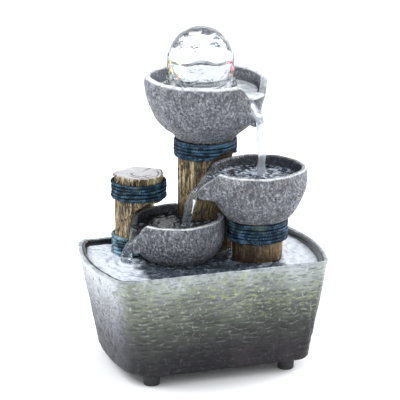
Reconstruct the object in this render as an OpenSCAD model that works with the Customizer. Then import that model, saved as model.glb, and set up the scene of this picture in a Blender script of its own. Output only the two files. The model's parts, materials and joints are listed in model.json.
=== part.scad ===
// Tabletop water fountain: a stone-look basin with three spouted bowls on
// log posts, a clear ball turning on a jet, and a small pump underneath.
// Units are millimetres, +Z is up. The origin is at the bottom centre of the
// overall box, on the surface that the feet stand on.

/* [Basin] */
// Half length of the rim, at its corners
rim_hl = 82; // [78:1:90]
// Half depth of the rim
rim_hd = 58; // [56:1:66]
// How far each end bows out at the rim
rim_bow = 10; // [4:1:14]
// Half length of the bottom, at its corners
base_hl = 69; // [66:1:74]
// Half depth of the bottom
base_hd = 52; // [51:1:56]
// How far each end bows out at the bottom
base_bow = 6.5; // [3:0.5:9]
// Radius of the upright corners
corner_r = 10; // [8:1:14]
// Height of the rim above the table
rim_z = 87.4; // [86:0.2:92]
// Thickness of the cast wall
wall = 4.5; // [4:0.1:5]
// Height of the rubber feet
foot_h = 8; // [6:1:10]

/* [Posts] */
// Radius of the tall post
tall_r = 21.7; // [20:0.1:22]
// Radius of the short post
short_r = 18.7; // [16:0.1:19]
// Radius of the middle post at its top
mid_r = 20.6; // [18:0.1:21]
// Height of the short post's top
short_top = 145.3; // [130:0.1:150]
// Diameter of one turn of the cord binding
rope_d = 2.6; // [2.2:0.1:3]

/* [Ball] */
// Radius of the clear ball
ball_r = 25; // [20:0.5:25]
// Height of the ball's centre
ball_z = 231.6; // [230:0.2:236]
// Water film left between the ball and its cup
film = 0.5; // [0.4:0.1:1]

/* [Pump] */
// Width of the pump body
pump_w = 32; // [30:1:32]
// Height of the pump body
pump_h = 30; // [28:1:32]
// Length of the motor part of the pump
motor_l = 40; // [38:1:42]
// Radius of the feed tube, outside
tube_r = 4.75; // [4.6:0.05:4.9]
// Wall of the feed tube
tube_w = 1.5; // [1.4:0.1:1.6]

/* [Hidden] */
$fn = 72;

// the basin's centre lies in front of the box centre, since the top bowl
// overhangs the back
frame_dy = -8;
// plan positions, measured from the basin's centre
tall_p = [12.35, 27];
mid_p = [40.6, -13];
low_p = [-17.5, 5.5];
short_p = [-41, 28.9];
jet_p = [8.9, 28.2];
foot_x = 54;
foot_y = 41.5;
// levels
base_z = foot_h;
floor_z = base_z + 5;
liner_t = 1.6;
gap = 0.3;
liner_floor = floor_z + 2.2;
deck_z = 60;
deck_t = 5;
deck_top = deck_z + deck_t;
pump_z = liner_floor + 3.8;
axis_z = pump_z + pump_h / 2;
vol_x = jet_p.x - 7;       // front face of the volute
mot_x = jet_p.x + 5.4;     // front face of the motor part
in_r = tube_r - tube_w;

stone = [0.60, 0.60, 0.58];
wood_c = [0.55, 0.40, 0.20];
rope_c = [0.22, 0.40, 0.50];
black = [0.06, 0.06, 0.07];
grey = [0.35, 0.36, 0.38];

// ---------- helpers ----------
module at(p) translate([p.x, p.y + frame_dy, 0]) children();

function mix(a, b, t) = a + (b - a) * t;
function lev(z) = (z - base_z) / (rim_z - base_z);
function end_x(y, hl, hd, bow) = hl + bow * (1 - pow(y / hd, 2));
// plan outline: straight long sides, bowed ends, round corners
function outline(hl, hd, bow, r) =
  let (cy = hd - r,
       f = atan(2 * bow * cy / (hd * hd)),
       y0 = cy + r * sin(f),
       cx = end_x(y0, hl, hd, bow) - r * cos(f),
       side = concat(
         [for (i = [0:5]) let (a = -90 + (90 - f) * i / 5) [cx + r * cos(a), -cy + r * sin(a)]],
         [for (i = [1:7]) let (y = -y0 + 2 * y0 * i / 8) [end_x(y, hl, hd, bow), y]],
         [for (i = [0:5]) let (a = f + (90 - f) * i / 5) [cx + r * cos(a), cy + r * sin(a)]]))
  concat(side, [for (p = side) [-p.x, -p.y]]);
function basin_ring(z, inset) =
  let (t = lev(z))
  outline(mix(base_hl, rim_hl, t) - inset, mix(base_hd, rim_hd, t) - inset,
          mix(base_bow, rim_bow, t), max(corner_r - inset, 2));

// a vessel lofted through rings [z, inset] that run up the outside,
// over the rim and down the inside
module vessel(rings) {
  loops = [for (k = rings) [for (p = basin_ring(k[0], k[1])) [p.x, p.y, k[0]]]];
  n = len(loops[0]);
  m = len(loops);
  pts = [for (l = loops) for (p = l) p];
  sides = [for (i = [0:m - 2]) for (j = [0:n - 1]) let (
             a = i * n + j, b = i * n + (j + 1) % n, c = b + n, d = a + n)
             each [[a, d, c], [a, c, b]]];
  polyhedron(pts, concat(sides,
    [[for (j = [0:n - 1]) j]],
    [[for (j = [n - 1:-1:0]) (m - 1) * n + j]]), convexity = 6);
}

// one binding: stacked turns of cord around a post
module binding(r, z0, z1) {
  n = floor((z1 - z0 - rope_d) / (rope_d * 0.82)) + 1;
  step = (z1 - z0 - rope_d) / (n - 1);
  rotate_extrude() difference() {
    union() {
      for (i = [0:n - 1]) translate([r + rope_d / 2 + 0.1, z0 + rope_d / 2 + i * step]) circle(d = rope_d, $fn = 20);
      translate([r, z0 + 0.8]) square([rope_d * 0.55, z1 - z0 - 1.6]);
    }
    translate([r - 5, z0 - 1]) square([5.05, z1 - z0 + 2]);
  }
}

// bowl outlines, [radius, height], outside from the foot to the rim
top_out = [[0, 170], [22.5, 170], [26.6, 174.4], [31.5, 178], [35.8, 181.8], [39.2, 186.5],
  [41.8, 192.6], [44.2, 198], [45.8, 203.5], [46.8, 209], [47, 213], [46.6, 216.4], [45.2, 218.2]];
top_in = [[43.2, 218.5], [41.9, 217], [41.8, 213], [41.2, 207], [39.5, 200], [36, 193],
  [30, 187], [24.8, 182.5], [22.7, 178.5], [0, 178.5]];
mid_out = [[0, 114], [22.5, 114], [24.8, 115.4], [29.8, 121.9], [32.5, 127], [34.4, 131.5], [36.4, 136],
  [37.5, 141], [37.9, 146], [37.6, 150.5], [36.8, 153.2]];
mid_in = [[35.2, 154.5], [33.6, 154.1], [32.9, 152.5], [32.8, 148], [31.8, 141], [29, 134],
  [24, 128], [16, 124], [0, 122.5]];
low_out = [[0, 77.4], [16, 77.4], [22, 80.2], [26.7, 83.9], [30.5, 87.5], [33, 91.5], [35, 96.5],
  [35.9, 102], [35.8, 108], [35.4, 112], [34.6, 114.6]];
low_in = [[33, 115.5], [31.4, 115.2], [30.6, 113.5], [30.4, 110], [29.4, 103], [26.5, 95.5],
  [20.5, 89.5], [12, 86.5], [0, 86]];

// the space a bowl takes, up to a flat top, grown by g
module envelope(out, top, g) rotate_extrude() polygon(concat(
  [[0, out[0][1] - g]],
  [for (i = [1:len(out) - 1]) [out[i][0] + g, out[i][1] - (i < 6 ? g : 0)]],
  [[out[len(out) - 1][0] + g, top], [0, top]]));

// the spout: a chute that leaves the rim at +X and narrows to its tip
// (g grows it on every side)
module chute_out(r, half, rim, drop, tip_r, tip_z, tip_w, g = 0) hull() {
  for (s = [-1, 1]) {
    translate([r * cos(half) - 3, s * (r * sin(half) - 2.6), rim - drop - g]) cylinder(r = 3 + g, h = drop + 2 * g, $fn = 24);
    translate([tip_r - 1.6, s * (tip_w / 2 - 1.5), tip_z - 5 - g]) cylinder(r = 1.5 + g, h = 7 + 2 * g, $fn = 16);
  }
}
// the channel: narrow at its sloping floor, as wide as the mouth at the rim
module chute_cut(r, half, rim, lip, tip_r, tip_z, tip_w) hull() {
  for (s = [-1, 1]) {
    translate([r * cos(half) - 16, s * 6, lip]) cylinder(r = 2, h = 1, $fn = 24);
    translate([tip_r + 3, s * (tip_w / 2 - 2.6), tip_z]) cylinder(r = 0.8, h = 1, $fn = 12);
    translate([r * cos(half) - 16, s * (r * sin(half) - 4), rim + 0.5]) cylinder(r = 2, h = 9, $fn = 24);
    translate([tip_r + 4, s * (r * sin(half) - 4), rim + 0.5]) cylinder(r = 2, h = 9, $fn = 24);
  }
}
// a bowl: turned outside joined to its chute, then hollowed by the turned
// inside and the channel
module bowl_body(out, inner, dir, r, half, rim, drop, lip, tip_r, tip_z, tip_w) {
  n = len(inner);
  top = inner[0][1];
  difference() {
    union() {
      rotate_extrude() polygon(concat(out, [inner[0], [0, top]]));
      rotate([0, 0, dir]) chute_out(r, half, rim, drop, tip_r, tip_z, tip_w);
    }
    rotate_extrude() polygon(concat([[0, inner[n - 1][1]]], [for (i = [n - 2:-1:0]) inner[i]],
      [[inner[0][0], top + 4], [0, top + 4]]));
    rotate([0, 0, dir]) chute_cut(r, half, rim, lip, tip_r, tip_z, tip_w);
  }
}

// the room that the middle and low bowls take out of the posts beside them
module mid_room(top) at(mid_p) {
  envelope(mid_out, top, gap);
  rotate([0, 0, 170]) chute_out(37, 31, 153.4, 22, 46.5, 136.5, 11, gap);
}
module low_room() at(low_p) {
  envelope(low_out, 115.5, gap);
  rotate([0, 0, 182]) chute_out(35, 29, 114.6, 20, 38.5, 94.5, 10, gap);
}

// ---------- basin ----------
gr_z = 76;
gr_tilt = atan((rim_hd - base_hd) / (rim_z - base_z));
gr_p = [58, mix(base_hd, rim_hd, lev(gr_z))];
module grommet_frame() translate([gr_p.x, gr_p.y + frame_dy, gr_z]) rotate([-90 - gr_tilt, 0, 0]) children();

module basin() color(stone) difference() {
  translate([0, frame_dy, 0]) vessel([[base_z, 2.5], [base_z + 2.5, 0], [rim_z - 0.8, 0], [rim_z, 0.9],
    [rim_z, wall - 0.9], [rim_z - 0.6, wall], [floor_z, wall]]);
  grommet_frame() translate([0, 0, -9]) cylinder(r = 4.62, h = 14);
}
module basin_liner() color(black) difference() {
  translate([0, frame_dy, 0]) vessel([[floor_z + 0.05, wall + 2.4], [floor_z + 1.5, wall + gap], [rim_z - 2.2, wall + gap],
    [rim_z - 1.5, wall + gap + 0.5], [rim_z - 1.5, wall + gap + 1.1], [rim_z - 2.2, wall + gap + liner_t],
    [liner_floor + 2.3, wall + gap + liner_t], [liner_floor, wall + gap + liner_t + 2.2]]);
  grommet_frame() translate([0, 0, -9]) cylinder(r = 4.62, h = 14);
}
module foot(sx, sy) color(black) at([sx * foot_x, sy * foot_y]) rotate_extrude()
  polygon([[0, 0], [5.6, 0], [6.2, 0.6], [6.6, foot_h - 1], [6.6, foot_h], [0, foot_h]]);
module foot_front_left() foot(-1, -1);
module foot_front_right() foot(1, -1);
module foot_rear_left() foot(-1, 1);
module foot_rear_right() foot(1, 1);
module cord_grommet() color(black) grommet_frame() difference() {
  union() {
    translate([0, 0, -6.42]) cylinder(r = 4.6, h = 6.5);
    translate([0, 0, 0.02]) cylinder(r = 6.5, h = 1.8);
    translate([0, 0, -8.2]) cylinder(r = 6.5, h = 1.78);
  }
  translate([0, 0, -10]) cylinder(r = 3.1, h = 14);
}

// ---------- deck ----------
leg_p = [[-58, -32], [58, -32], [-58, 32], [60, 30], [-18, -34], [20, -34]];
screw_p = [tall_p + [12, -9], tall_p + [-15, -8], mid_p + [-10, 0], mid_p + [10, 0],
  short_p + [9, 0], short_p + [-9, 0], low_p + [-7.5, 0], low_p + [6.5, -3.5]];
module deck_plate() color(black) difference() {
  at([0, 0]) translate([0, 0, deck_z]) linear_extrude(deck_t)
    polygon(outline(mix(base_hl, rim_hl, lev(deck_z)) - 7.3, mix(base_hd, rim_hd, lev(deck_z)) - 7.3,
      mix(base_bow, rim_bow, lev(deck_z)), 4));
  // feed tube and lamp lead
  at(jet_p) translate([0, 0, deck_z - 1]) cylinder(r = 8.2, h = deck_t + 2);
  // cord notch
  at([gr_p.x, 50]) translate([-8, -6, deck_z - 1]) cube([16, 12, deck_t + 2]);
  // drain slots
  for (i = [-4:4]) at([i * 11, -38]) translate([-3, -5, deck_z - 1]) cube([6, 10, deck_t + 2]);
  for (i = [0:2]) at([-74, -16 + i * 12]) translate([0, 0, deck_z - 1]) cube([12, 5, deck_t + 2]);
  for (i = [0:2]) at([66, -18 + i * 12]) translate([0, 0, deck_z - 1]) cube([9, 5, deck_t + 2]);
  for (p = screw_p) at(p) translate([0, 0, deck_z - 1]) cylinder(r = 1.7, h = deck_t + 2, $fn = 24);
}
module deck_legs() color(black) for (p = leg_p) at(p)
  translate([0, 0, liner_floor + 0.15]) cylinder(r = 3.5, h = deck_z - liner_floor - 0.15, $fn = 32);
module post_screws() color([0.7, 0.7, 0.72]) for (p = screw_p) at(p) difference() {
  union() {
    translate([0, 0, deck_z - 2.2]) cylinder(r = 2.9, h = 2.2, $fn = 24);
    translate([0, 0, deck_z - 0.5]) cylinder(r = 1.4, h = 14.5, $fn = 24);
  }
  translate([-2, -0.4, deck_z - 3]) cube([4, 0.8, 1.8]);
  translate([-0.4, -2, deck_z - 3]) cube([0.8, 4, 1.8]);
}
module pilots() for (p = screw_p) at(p) translate([0, 0, deck_top - 1]) cylinder(r = 1.5, h = 11, $fn = 24);

// ---------- posts ----------
module post_tall() color(wood_c) difference() {
  at(tall_p) translate([0, 0, deck_top]) cylinder(r = tall_r, h = 170 - deck_top);
  at(jet_p) translate([0, 0, deck_top - 1]) cylinder(r = 8.2, h = 100);
  at(jet_p) translate([0, 0, 145]) cylinder(r1 = 8.2, r2 = 11.5, h = 15);
  at(jet_p) translate([0, 0, 159.9]) cylinder(r = 11.5, h = 12);
  mid_room(154.5);
  pilots();
}
module post_mid() color(wood_c) difference() {
  at(mid_p) translate([0, 0, deck_top]) cylinder(r1 = mid_r - 2.6, r2 = mid_r, h = 114 - deck_top);
  pilots();
}
module post_short() color(wood_c) difference() {
  at(short_p) translate([0, 0, deck_top]) rotate_extrude() polygon([[0, 0], [short_r, 0],
    [short_r, short_top - deck_top - 1.2], [short_r - 1.4, short_top - deck_top], [0, short_top - deck_top - 0.6]]);
  low_room();
  pilots();
}
module low_bowl_pedestal() color(black) difference() {
  at(low_p) translate([0, 0, deck_top]) cylinder(r = 11.2, h = 77.4 - deck_top);
  pilots();
}

// ---------- bowls ----------
module bowl_top() color(stone) difference() {
  at(tall_p) bowl_body(top_out, top_in, -49, 45, 27, 216.5, 26, 206.5, 46.5, 188.5, 10);
  at(jet_p) translate([0, 0, 168]) cylinder(r = 4.25, h = 20);
  at(jet_p + [9.2, 0]) translate([0, 0, 168]) cylinder(r = 1.6, h = 20, $fn = 32);
}
module bowl_mid() color(stone)
  at(mid_p) bowl_body(mid_out, mid_in, 170, 37, 31, 153.4, 22, 145.2, 46.5, 136.5, 11);
module bowl_low() color(stone) difference() {
  at(low_p) bowl_body(low_out, low_in, 182, 35, 29, 114.6, 20, 107.8, 38.5, 94.5, 10);
  at(tall_p) translate([0, 0, 76]) cylinder(r = tall_r + 0.1, h = 45);
}

// ---------- bindings ----------
module rope_tall() color(rope_c) difference() {
  at(tall_p) binding(tall_r, 156, 169.8);
  mid_room(156.5);
}
module rope_mid() color(rope_c) at(mid_p) binding(mid_r, 98, 113.8);
module rope_short_upper() color(rope_c) at(short_p) binding(short_r, 126.5, 140.3);
module rope_short_lower() color(rope_c) difference() {
  at(short_p) binding(short_r, 76, 98);
  low_room();
}

// ---------- feed, lamp, cup and ball ----------
module riser_tube() color([0.8, 0.85, 0.9]) at(jet_p) difference() {
  translate([0, 0, axis_z + 21]) cylinder(r = tube_r, h = 176 - 12 - axis_z - 21 + 0.5, $fn = 48);
  translate([0, 0, axis_z + 20]) cylinder(r = in_r, h = 150, $fn = 48);
}
module feed_nozzle() color([0.85, 0.87, 0.9]) at(jet_p) difference() {
  union() {
    translate([0, 0, 156]) cylinder(r = in_r, h = 9, $fn = 48);
    translate([0, 0, 164.6]) cylinder(r = 4.1, h = 17, $fn = 48);
    translate([0, 0, 179.7]) cylinder(r = 7, h = 2, $fn = 48);
    translate([0, 0, 181]) cylinder(r1 = 4.1, r2 = 2.6, h = 24, $fn = 48);
  }
  translate([0, 0, 150]) cylinder(r = 1.6, h = 60, $fn = 32);
}
module nozzle_nut() color([0.85, 0.87, 0.9]) at(jet_p) difference() {
  translate([0, 0, 165.4]) cylinder(r = 7, h = 4.5, $fn = 6);
  translate([0, 0, 165]) cylinder(r = 4.15, h = 6, $fn = 48);
}
module nozzle_seal() color(black) at(jet_p) difference() {
  translate([0, 0, 178.5]) cylinder(r = 7, h = 1.2, $fn = 48);
  translate([0, 0, 178]) cylinder(r = 4.2, h = 3, $fn = 48);
}
module led_housing() color(black) at(jet_p) difference() {
  translate([0, 0, 181.9]) cylinder(r = 15.2, h = 7.1);
  translate([0, 0, 181]) cylinder(r = 4.6, h = 10, $fn = 48);
  translate([0, 0, 184]) difference() { cylinder(r = 14, h = 6); cylinder(r = 6, h = 6, $fn = 48); }
  translate([9.2, 0, 181]) cylinder(r = 1.3, h = 4, $fn = 32);
}
module led_lens() color([0.9, 0.95, 1, 0.6]) at(jet_p) difference() {
  translate([0, 0, 187.2]) cylinder(r = 13.95, h = 2.6);
  translate([0, 0, 186]) cylinder(r = 6.05, h = 5, $fn = 48);
}
lead_pts = [[9.2, 0, 186], [9.2, 0, 176], [9.2, 0, 166], [8.6, 0, 160], [7.2, 0, 154], [6.5, 0, 148], [6.5, 0, 130],
  [6.5, 0, 100], [6.5, 0, 80], [6.5, 0, 66], [7, 0, 60], [10, 0, 55], [14, 0, 52.4], [18, 0, 50.4], [20, 0, 47.5]];
// a round lead swept along points that stay in the XZ plane
module lead_tube(pts, r, n) {
  m = len(pts);
  dirs = [for (i = [0:m - 1]) let (d = pts[min(i + 1, m - 1)] - pts[max(i - 1, 0)]) d / norm(d)];
  loops = [for (i = [0:m - 1]) let (d = dirs[i], u = [-d.z, 0, d.x], v = [0, 1, 0])
    [for (j = [0:n - 1]) pts[i] + r * (cos(360 * j / n) * u + sin(360 * j / n) * v)]];
  p = [for (l = loops) for (q = l) q];
  polyhedron(p, concat(
    [for (i = [0:m - 2]) for (j = [0:n - 1]) let (a = i * n + j, b = i * n + (j + 1) % n)
      each [[a, a + n, b + n], [a, b + n, b]]],
    [[for (j = [0:n - 1]) j]], [[for (j = [n - 1:-1:0]) (m - 1) * n + j]]), convexity = 4);
}
module led_lead() color(black) at(jet_p) lead_tube(lead_pts, 1.1, 10);
cup_floor = 178.6;
seat_r = ball_r + film;
module ball_cup() color([0.9, 0.95, 1, 0.4]) at(jet_p) difference() {
  rotate_extrude() polygon([[16.6, cup_floor], [18.4, cup_floor], [18.4, 200], [19, 206], [20.4, 211.5],
    [22.6, 216], [22.2, 217.2], [21.2, ball_z - sqrt(seat_r * seat_r - 21.2 * 21.2)],
    [19, ball_z - sqrt(seat_r * seat_r - 19 * 19)], [17.2, ball_z - sqrt(seat_r * seat_r - 17.2 * 17.2)],
    [16.6, 206]]);
  for (a = [0, 90]) rotate([0, 0, a + 45]) translate([-30, -4, cup_floor - 1]) cube([60, 8, 6]);
}
module glass_ball() color([0.95, 0.97, 1, 0.4]) at(jet_p) translate([0, 0, ball_z]) sphere(r = ball_r);

// ---------- pump ----------
module along_x(x) translate([x, jet_p.y + frame_dy, axis_z]) rotate([0, 90, 0]) children();
module block(x, l, dy, dz, r = 2) translate([x, jet_p.y + frame_dy, axis_z]) rotate([0, 90, 0])
  linear_extrude(l) offset(r = r) square([pump_h - 2 * dz - 2 * r, pump_w - 2 * dy - 2 * r], center = true);
module pump_housing() color(grey) difference() {
  block(mot_x, motor_l, 0, 0);
  difference() { block(mot_x + 3, motor_l, 2, 2, 1); along_x(mot_x) cylinder(r = 8.8, h = 20); }
  along_x(mot_x - 1) cylinder(r = 7.4, h = vol_x + 29.5 - mot_x);
  // seal groove
  along_x(mot_x - 1) difference() { cylinder(r = 13.5, h = 2); cylinder(r = 11.9, h = 2); }
  // lead entry
  at(jet_p + [20, 0]) translate([0, 0, 40]) cylinder(r = 1.7, h = 20, $fn = 24);
}
module pump_volute() color(grey) difference() {
  union() {
    block(vol_x, mot_x - vol_x, 1, 1);
    at(jet_p) translate([0, 0, axis_z + 11]) cylinder(r = 5.2, h = 6.5, $fn = 48);
  }
  along_x(vol_x + 3) cylinder(r = 11.2, h = 12);
  along_x(vol_x - 1) cylinder(r = 4.6, h = 6);
  at(jet_p) translate([0, 0, axis_z]) cylinder(r = 3.1, h = 30, $fn = 48);
}
module pump_strainer() color(black) difference() {
  block(vol_x - 9, 9, 0, 0);
  block(vol_x - 7.2, 9, 1.8, 1.8, 1);
  for (i = [-2:2]) translate([vol_x - 8, jet_p.y + frame_dy - 20, axis_z + i * 4.6 - 0.9]) cube([6, 40, 1.8]);
  for (i = [-1:1]) for (j = [-1, 1]) translate([vol_x - 10, jet_p.y + frame_dy + j * 12 - 1.5, axis_z + i * 7 - 1]) cube([4, 3, 2]);
  along_x(vol_x - 10) cylinder(r = 1.6, h = 4, $fn = 24);
  for (a = [90, 210, 330]) along_x(vol_x - 10) rotate([0, 0, a]) translate([6, 0, 0]) cylinder(r = 1.7, h = 4, $fn = 24);
}
module flow_regulator() color([0.75, 0.15, 0.12]) difference() {
  union() {
    along_x(vol_x - 10.8) cylinder(r = 9, h = 1.6);
    along_x(vol_x - 10) cylinder(r = 1.55, h = 4, $fn = 24);
    along_x(vol_x - 6.9) cylinder(r = 2.6, h = 1, $fn = 24);
    translate([vol_x - 12.4, jet_p.y + frame_dy - 1, axis_z - 8]) cube([2, 2, 16]);
  }
  for (a = [90, 210, 330]) along_x(vol_x - 11.5) rotate([0, 0, a]) translate([6, 0, 0]) cylinder(r = 1.8, h = 3, $fn = 24);
}
module pump_seal() color(black) along_x(mot_x + 0.05) rotate_extrude()
  translate([12.7, 0.45]) circle(r = 0.4, $fn = 20);
module outlet_adapter() color(black) at(jet_p) difference() {
  union() {
    translate([0, 0, axis_z + 17.5]) cylinder(r = 5.2, h = 3.4, $fn = 48);
    translate([0, 0, axis_z + 20.5]) cylinder(r = in_r, h = 9, $fn = 48);
  }
  translate([0, 0, axis_z + 16]) cylinder(r = 1.9, h = 16, $fn = 32);
}
module suction_cups() color(black) for (x = [mot_x + 5, mot_x + motor_l - 6]) for (s = [-1, 1])
  at([x, jet_p.y + s * 10.5]) rotate_extrude() polygon([[0, liner_floor + 1.2], [2.6, liner_floor + 0.7],
    [4.6, liner_floor + 0.15], [5, liner_floor + 0.15], [3.2, liner_floor + 2], [2, liner_floor + 2.8], [2, pump_z], [0, pump_z]]);
module impeller() color([0.9, 0.9, 0.92]) difference() {
  union() {
    along_x(vol_x + 4.4) cylinder(r = 2.6, h = 6.8, $fn = 48);
    along_x(vol_x + 9.2) cylinder(r = 8.6, h = 1.2);
    for (a = [0:60:300]) along_x(vol_x + 4.4) rotate([0, 0, a]) translate([2, -0.6, 0]) cube([6.4, 1.2, 5.4]);
  }
  along_x(vol_x) cylinder(r = 1.05, h = 20, $fn = 48);
}
module impeller_magnet() color([0.15, 0.15, 0.16]) difference() {
  along_x(vol_x + 11.2) cylinder(r = 6.7, h = 13.4);
  along_x(vol_x + 10) cylinder(r = 1.05, h = 20, $fn = 48);
}
module impeller_shaft() color([0.95, 0.95, 0.92]) along_x(vol_x + 2) cylinder(r = 1, h = 25.6, $fn = 48);
module shaft_bush_rear() color(black) difference() {
  along_x(vol_x + 25.2) cylinder(r = 3, h = 2.9, $fn = 48);
  along_x(vol_x + 25) cylinder(r = 1, h = 2.6, $fn = 48);
}
module shaft_bush_front() color(black) difference() {
  union() {
    along_x(vol_x + 1) cylinder(r = 2.2, h = 2.8, $fn = 48);
    for (a = [0, 120, 240]) along_x(vol_x + 1) rotate([0, 0, a]) translate([1.6, -0.5, 0]) cube([2.9, 1, 2]);
  }
  along_x(vol_x + 2) cylinder(r = 1, h = 6, $fn = 48);
}
module stator_core() color([0.45, 0.45, 0.48]) {
  for (s = [-1, 1]) translate([mot_x + 4, jet_p.y + frame_dy + s * 11.3 - 2.2, axis_z - 8]) cube([27, 4.4, 16]);
  translate([mot_x + 26.6, jet_p.y + frame_dy - 9.1, axis_z - 4.5]) cube([4.4, 18.2, 9]);
}
module stator_coil() color([0.72, 0.38, 0.16]) difference() {
  translate([mot_x + 22.4, jet_p.y + frame_dy - 8.6, axis_z - 9]) cube([12.6, 17.2, 18]);
  translate([mot_x + 26.5, jet_p.y + frame_dy - 10, axis_z - 4.6]) cube([4.6, 20, 9.2]);
}
module motor_potting() color([0.1, 0.1, 0.12]) block(mot_x + motor_l - 4, 4, 2.05, 2.05, 1);

basin();
basin_liner();
foot_front_left();
foot_front_right();
foot_rear_left();
foot_rear_right();
cord_grommet();
deck_plate();
deck_legs();
post_screws();
post_tall();
post_mid();
post_short();
low_bowl_pedestal();
bowl_top();
bowl_mid();
bowl_low();
rope_tall();
rope_mid();
rope_short_upper();
rope_short_lower();
riser_tube();
feed_nozzle();
nozzle_nut();
nozzle_seal();
led_housing();
led_lens();
led_lead();
ball_cup();
glass_ball();
pump_housing();
pump_volute();
pump_strainer();
pump_seal();
outlet_adapter();
flow_regulator();
suction_cups();
impeller();
impeller_magnet();
impeller_shaft();
shaft_bush_front();
shaft_bush_rear();
stator_core();
stator_coil();
motor_potting();
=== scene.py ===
import json
import math
import bpy
import numpy as np
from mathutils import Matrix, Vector

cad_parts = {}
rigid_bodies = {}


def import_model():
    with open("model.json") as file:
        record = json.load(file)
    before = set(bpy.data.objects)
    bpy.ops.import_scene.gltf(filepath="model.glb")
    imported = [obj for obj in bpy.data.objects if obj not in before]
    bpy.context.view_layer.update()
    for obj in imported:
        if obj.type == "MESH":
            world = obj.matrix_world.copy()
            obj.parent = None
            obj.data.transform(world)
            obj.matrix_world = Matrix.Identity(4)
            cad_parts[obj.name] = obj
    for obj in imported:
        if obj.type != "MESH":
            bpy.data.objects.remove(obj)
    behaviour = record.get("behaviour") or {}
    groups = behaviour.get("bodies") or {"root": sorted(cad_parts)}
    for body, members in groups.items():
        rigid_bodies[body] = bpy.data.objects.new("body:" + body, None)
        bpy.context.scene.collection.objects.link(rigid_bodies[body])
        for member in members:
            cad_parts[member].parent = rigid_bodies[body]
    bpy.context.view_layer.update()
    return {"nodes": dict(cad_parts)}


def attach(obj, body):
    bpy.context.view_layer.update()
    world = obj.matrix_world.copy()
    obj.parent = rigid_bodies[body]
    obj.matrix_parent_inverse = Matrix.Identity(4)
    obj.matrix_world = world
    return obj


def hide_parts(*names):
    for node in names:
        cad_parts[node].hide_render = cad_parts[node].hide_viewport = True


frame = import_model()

OFF = np.array([0.0, -8.0, 0.0])          # basin centre to the row frame, mm
TALL = np.array([12.35, 27.0]); MID = np.array([40.6, -13.0]); LOW = np.array([-17.5, 5.5])
SHORT = np.array([-41.0, 29.5]); JET = np.array([8.9, 28.2])
BALL_Z, BALL_R = 231.6, 25.0
WATER_Z = 82.6

# ------------------------------------------------------------------ noise
def _hash(ix, iy, iz, seed):
    h = (ix.astype(np.int64) * 374761393 + iy.astype(np.int64) * 668265263 + iz.astype(np.int64) * 2147483647 + seed * 1274126177) & 0xFFFFFFFF
    h = ((h ^ (h >> 13)) * 1274126177) & 0xFFFFFFFF
    h = ((h ^ (h >> 16)) * 2246822519) & 0xFFFFFFFF
    return (h ^ (h >> 15)) & 0xFFFFFFFF

def rnd(ix, iy, iz, seed):
    return _hash(ix, iy, iz, seed) / 4294967295.0

def perlin(p, seed=0):
    p = np.asarray(p, float)
    i = np.floor(p).astype(np.int64); f = p - i
    u = f * f * f * (f * (f * 6 - 15) + 10)
    out = np.zeros(len(p))
    for dx in (0, 1):
        wx = u[:, 0] if dx else 1 - u[:, 0]
        for dy in (0, 1):
            wy = u[:, 1] if dy else 1 - u[:, 1]
            for dz in (0, 1):
                wz = u[:, 2] if dz else 1 - u[:, 2]
                h = _hash(i[:, 0] + dx, i[:, 1] + dy, i[:, 2] + dz, seed)
                a = (h & 0xFFFF) / 65536.0 * 2 * np.pi
                z = ((h >> 16) & 0xFFFF) / 32768.0 - 1
                s = np.sqrt(np.maximum(0, 1 - z * z))
                out += wx * wy * wz * ((f[:, 0] - dx) * s * np.cos(a) + (f[:, 1] - dy) * s * np.sin(a) + (f[:, 2] - dz) * z)
    return out * 1.5

def fbm(p, octaves=3, seed=0, gain=0.5, lac=2.03):
    p = np.asarray(p, float); t = np.zeros(len(p)); a = 1.0; n = 0
    for o in range(octaves):
        t += a * perlin(p, seed + 17 * o); n += a; a *= gain; p = p * lac + 3.7
    return t / n

def worley(p, seed=0, jitter=0.9):
    """Distance to the nearest feature point, in cells, and that cell's random value."""
    p = np.asarray(p, float); i = np.floor(p).astype(np.int64); f = p - i
    best = np.full(len(p), 9.0); val = np.zeros(len(p))
    for dx in (-1, 0, 1):
        for dy in (-1, 0, 1):
            for dz in (-1, 0, 1):
                cx, cy, cz = i[:, 0] + dx, i[:, 1] + dy, i[:, 2] + dz
                ox = dx + 0.5 + jitter * (rnd(cx, cy, cz, seed) - 0.5) - f[:, 0]
                oy = dy + 0.5 + jitter * (rnd(cx, cy, cz, seed + 1) - 0.5) - f[:, 1]
                oz = dz + 0.5 + jitter * (rnd(cx, cy, cz, seed + 2) - 0.5) - f[:, 2]
                d = ox * ox + oy * oy + oz * oz
                m = d < best
                best = np.where(m, d, best); val = np.where(m, rnd(cx, cy, cz, seed + 3), val)
    return np.sqrt(best), val

def smooth(a, b, x):
    t = np.clip((x - a) / (b - a), 0, 1)
    return t * t * (3 - 2 * t)

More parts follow.
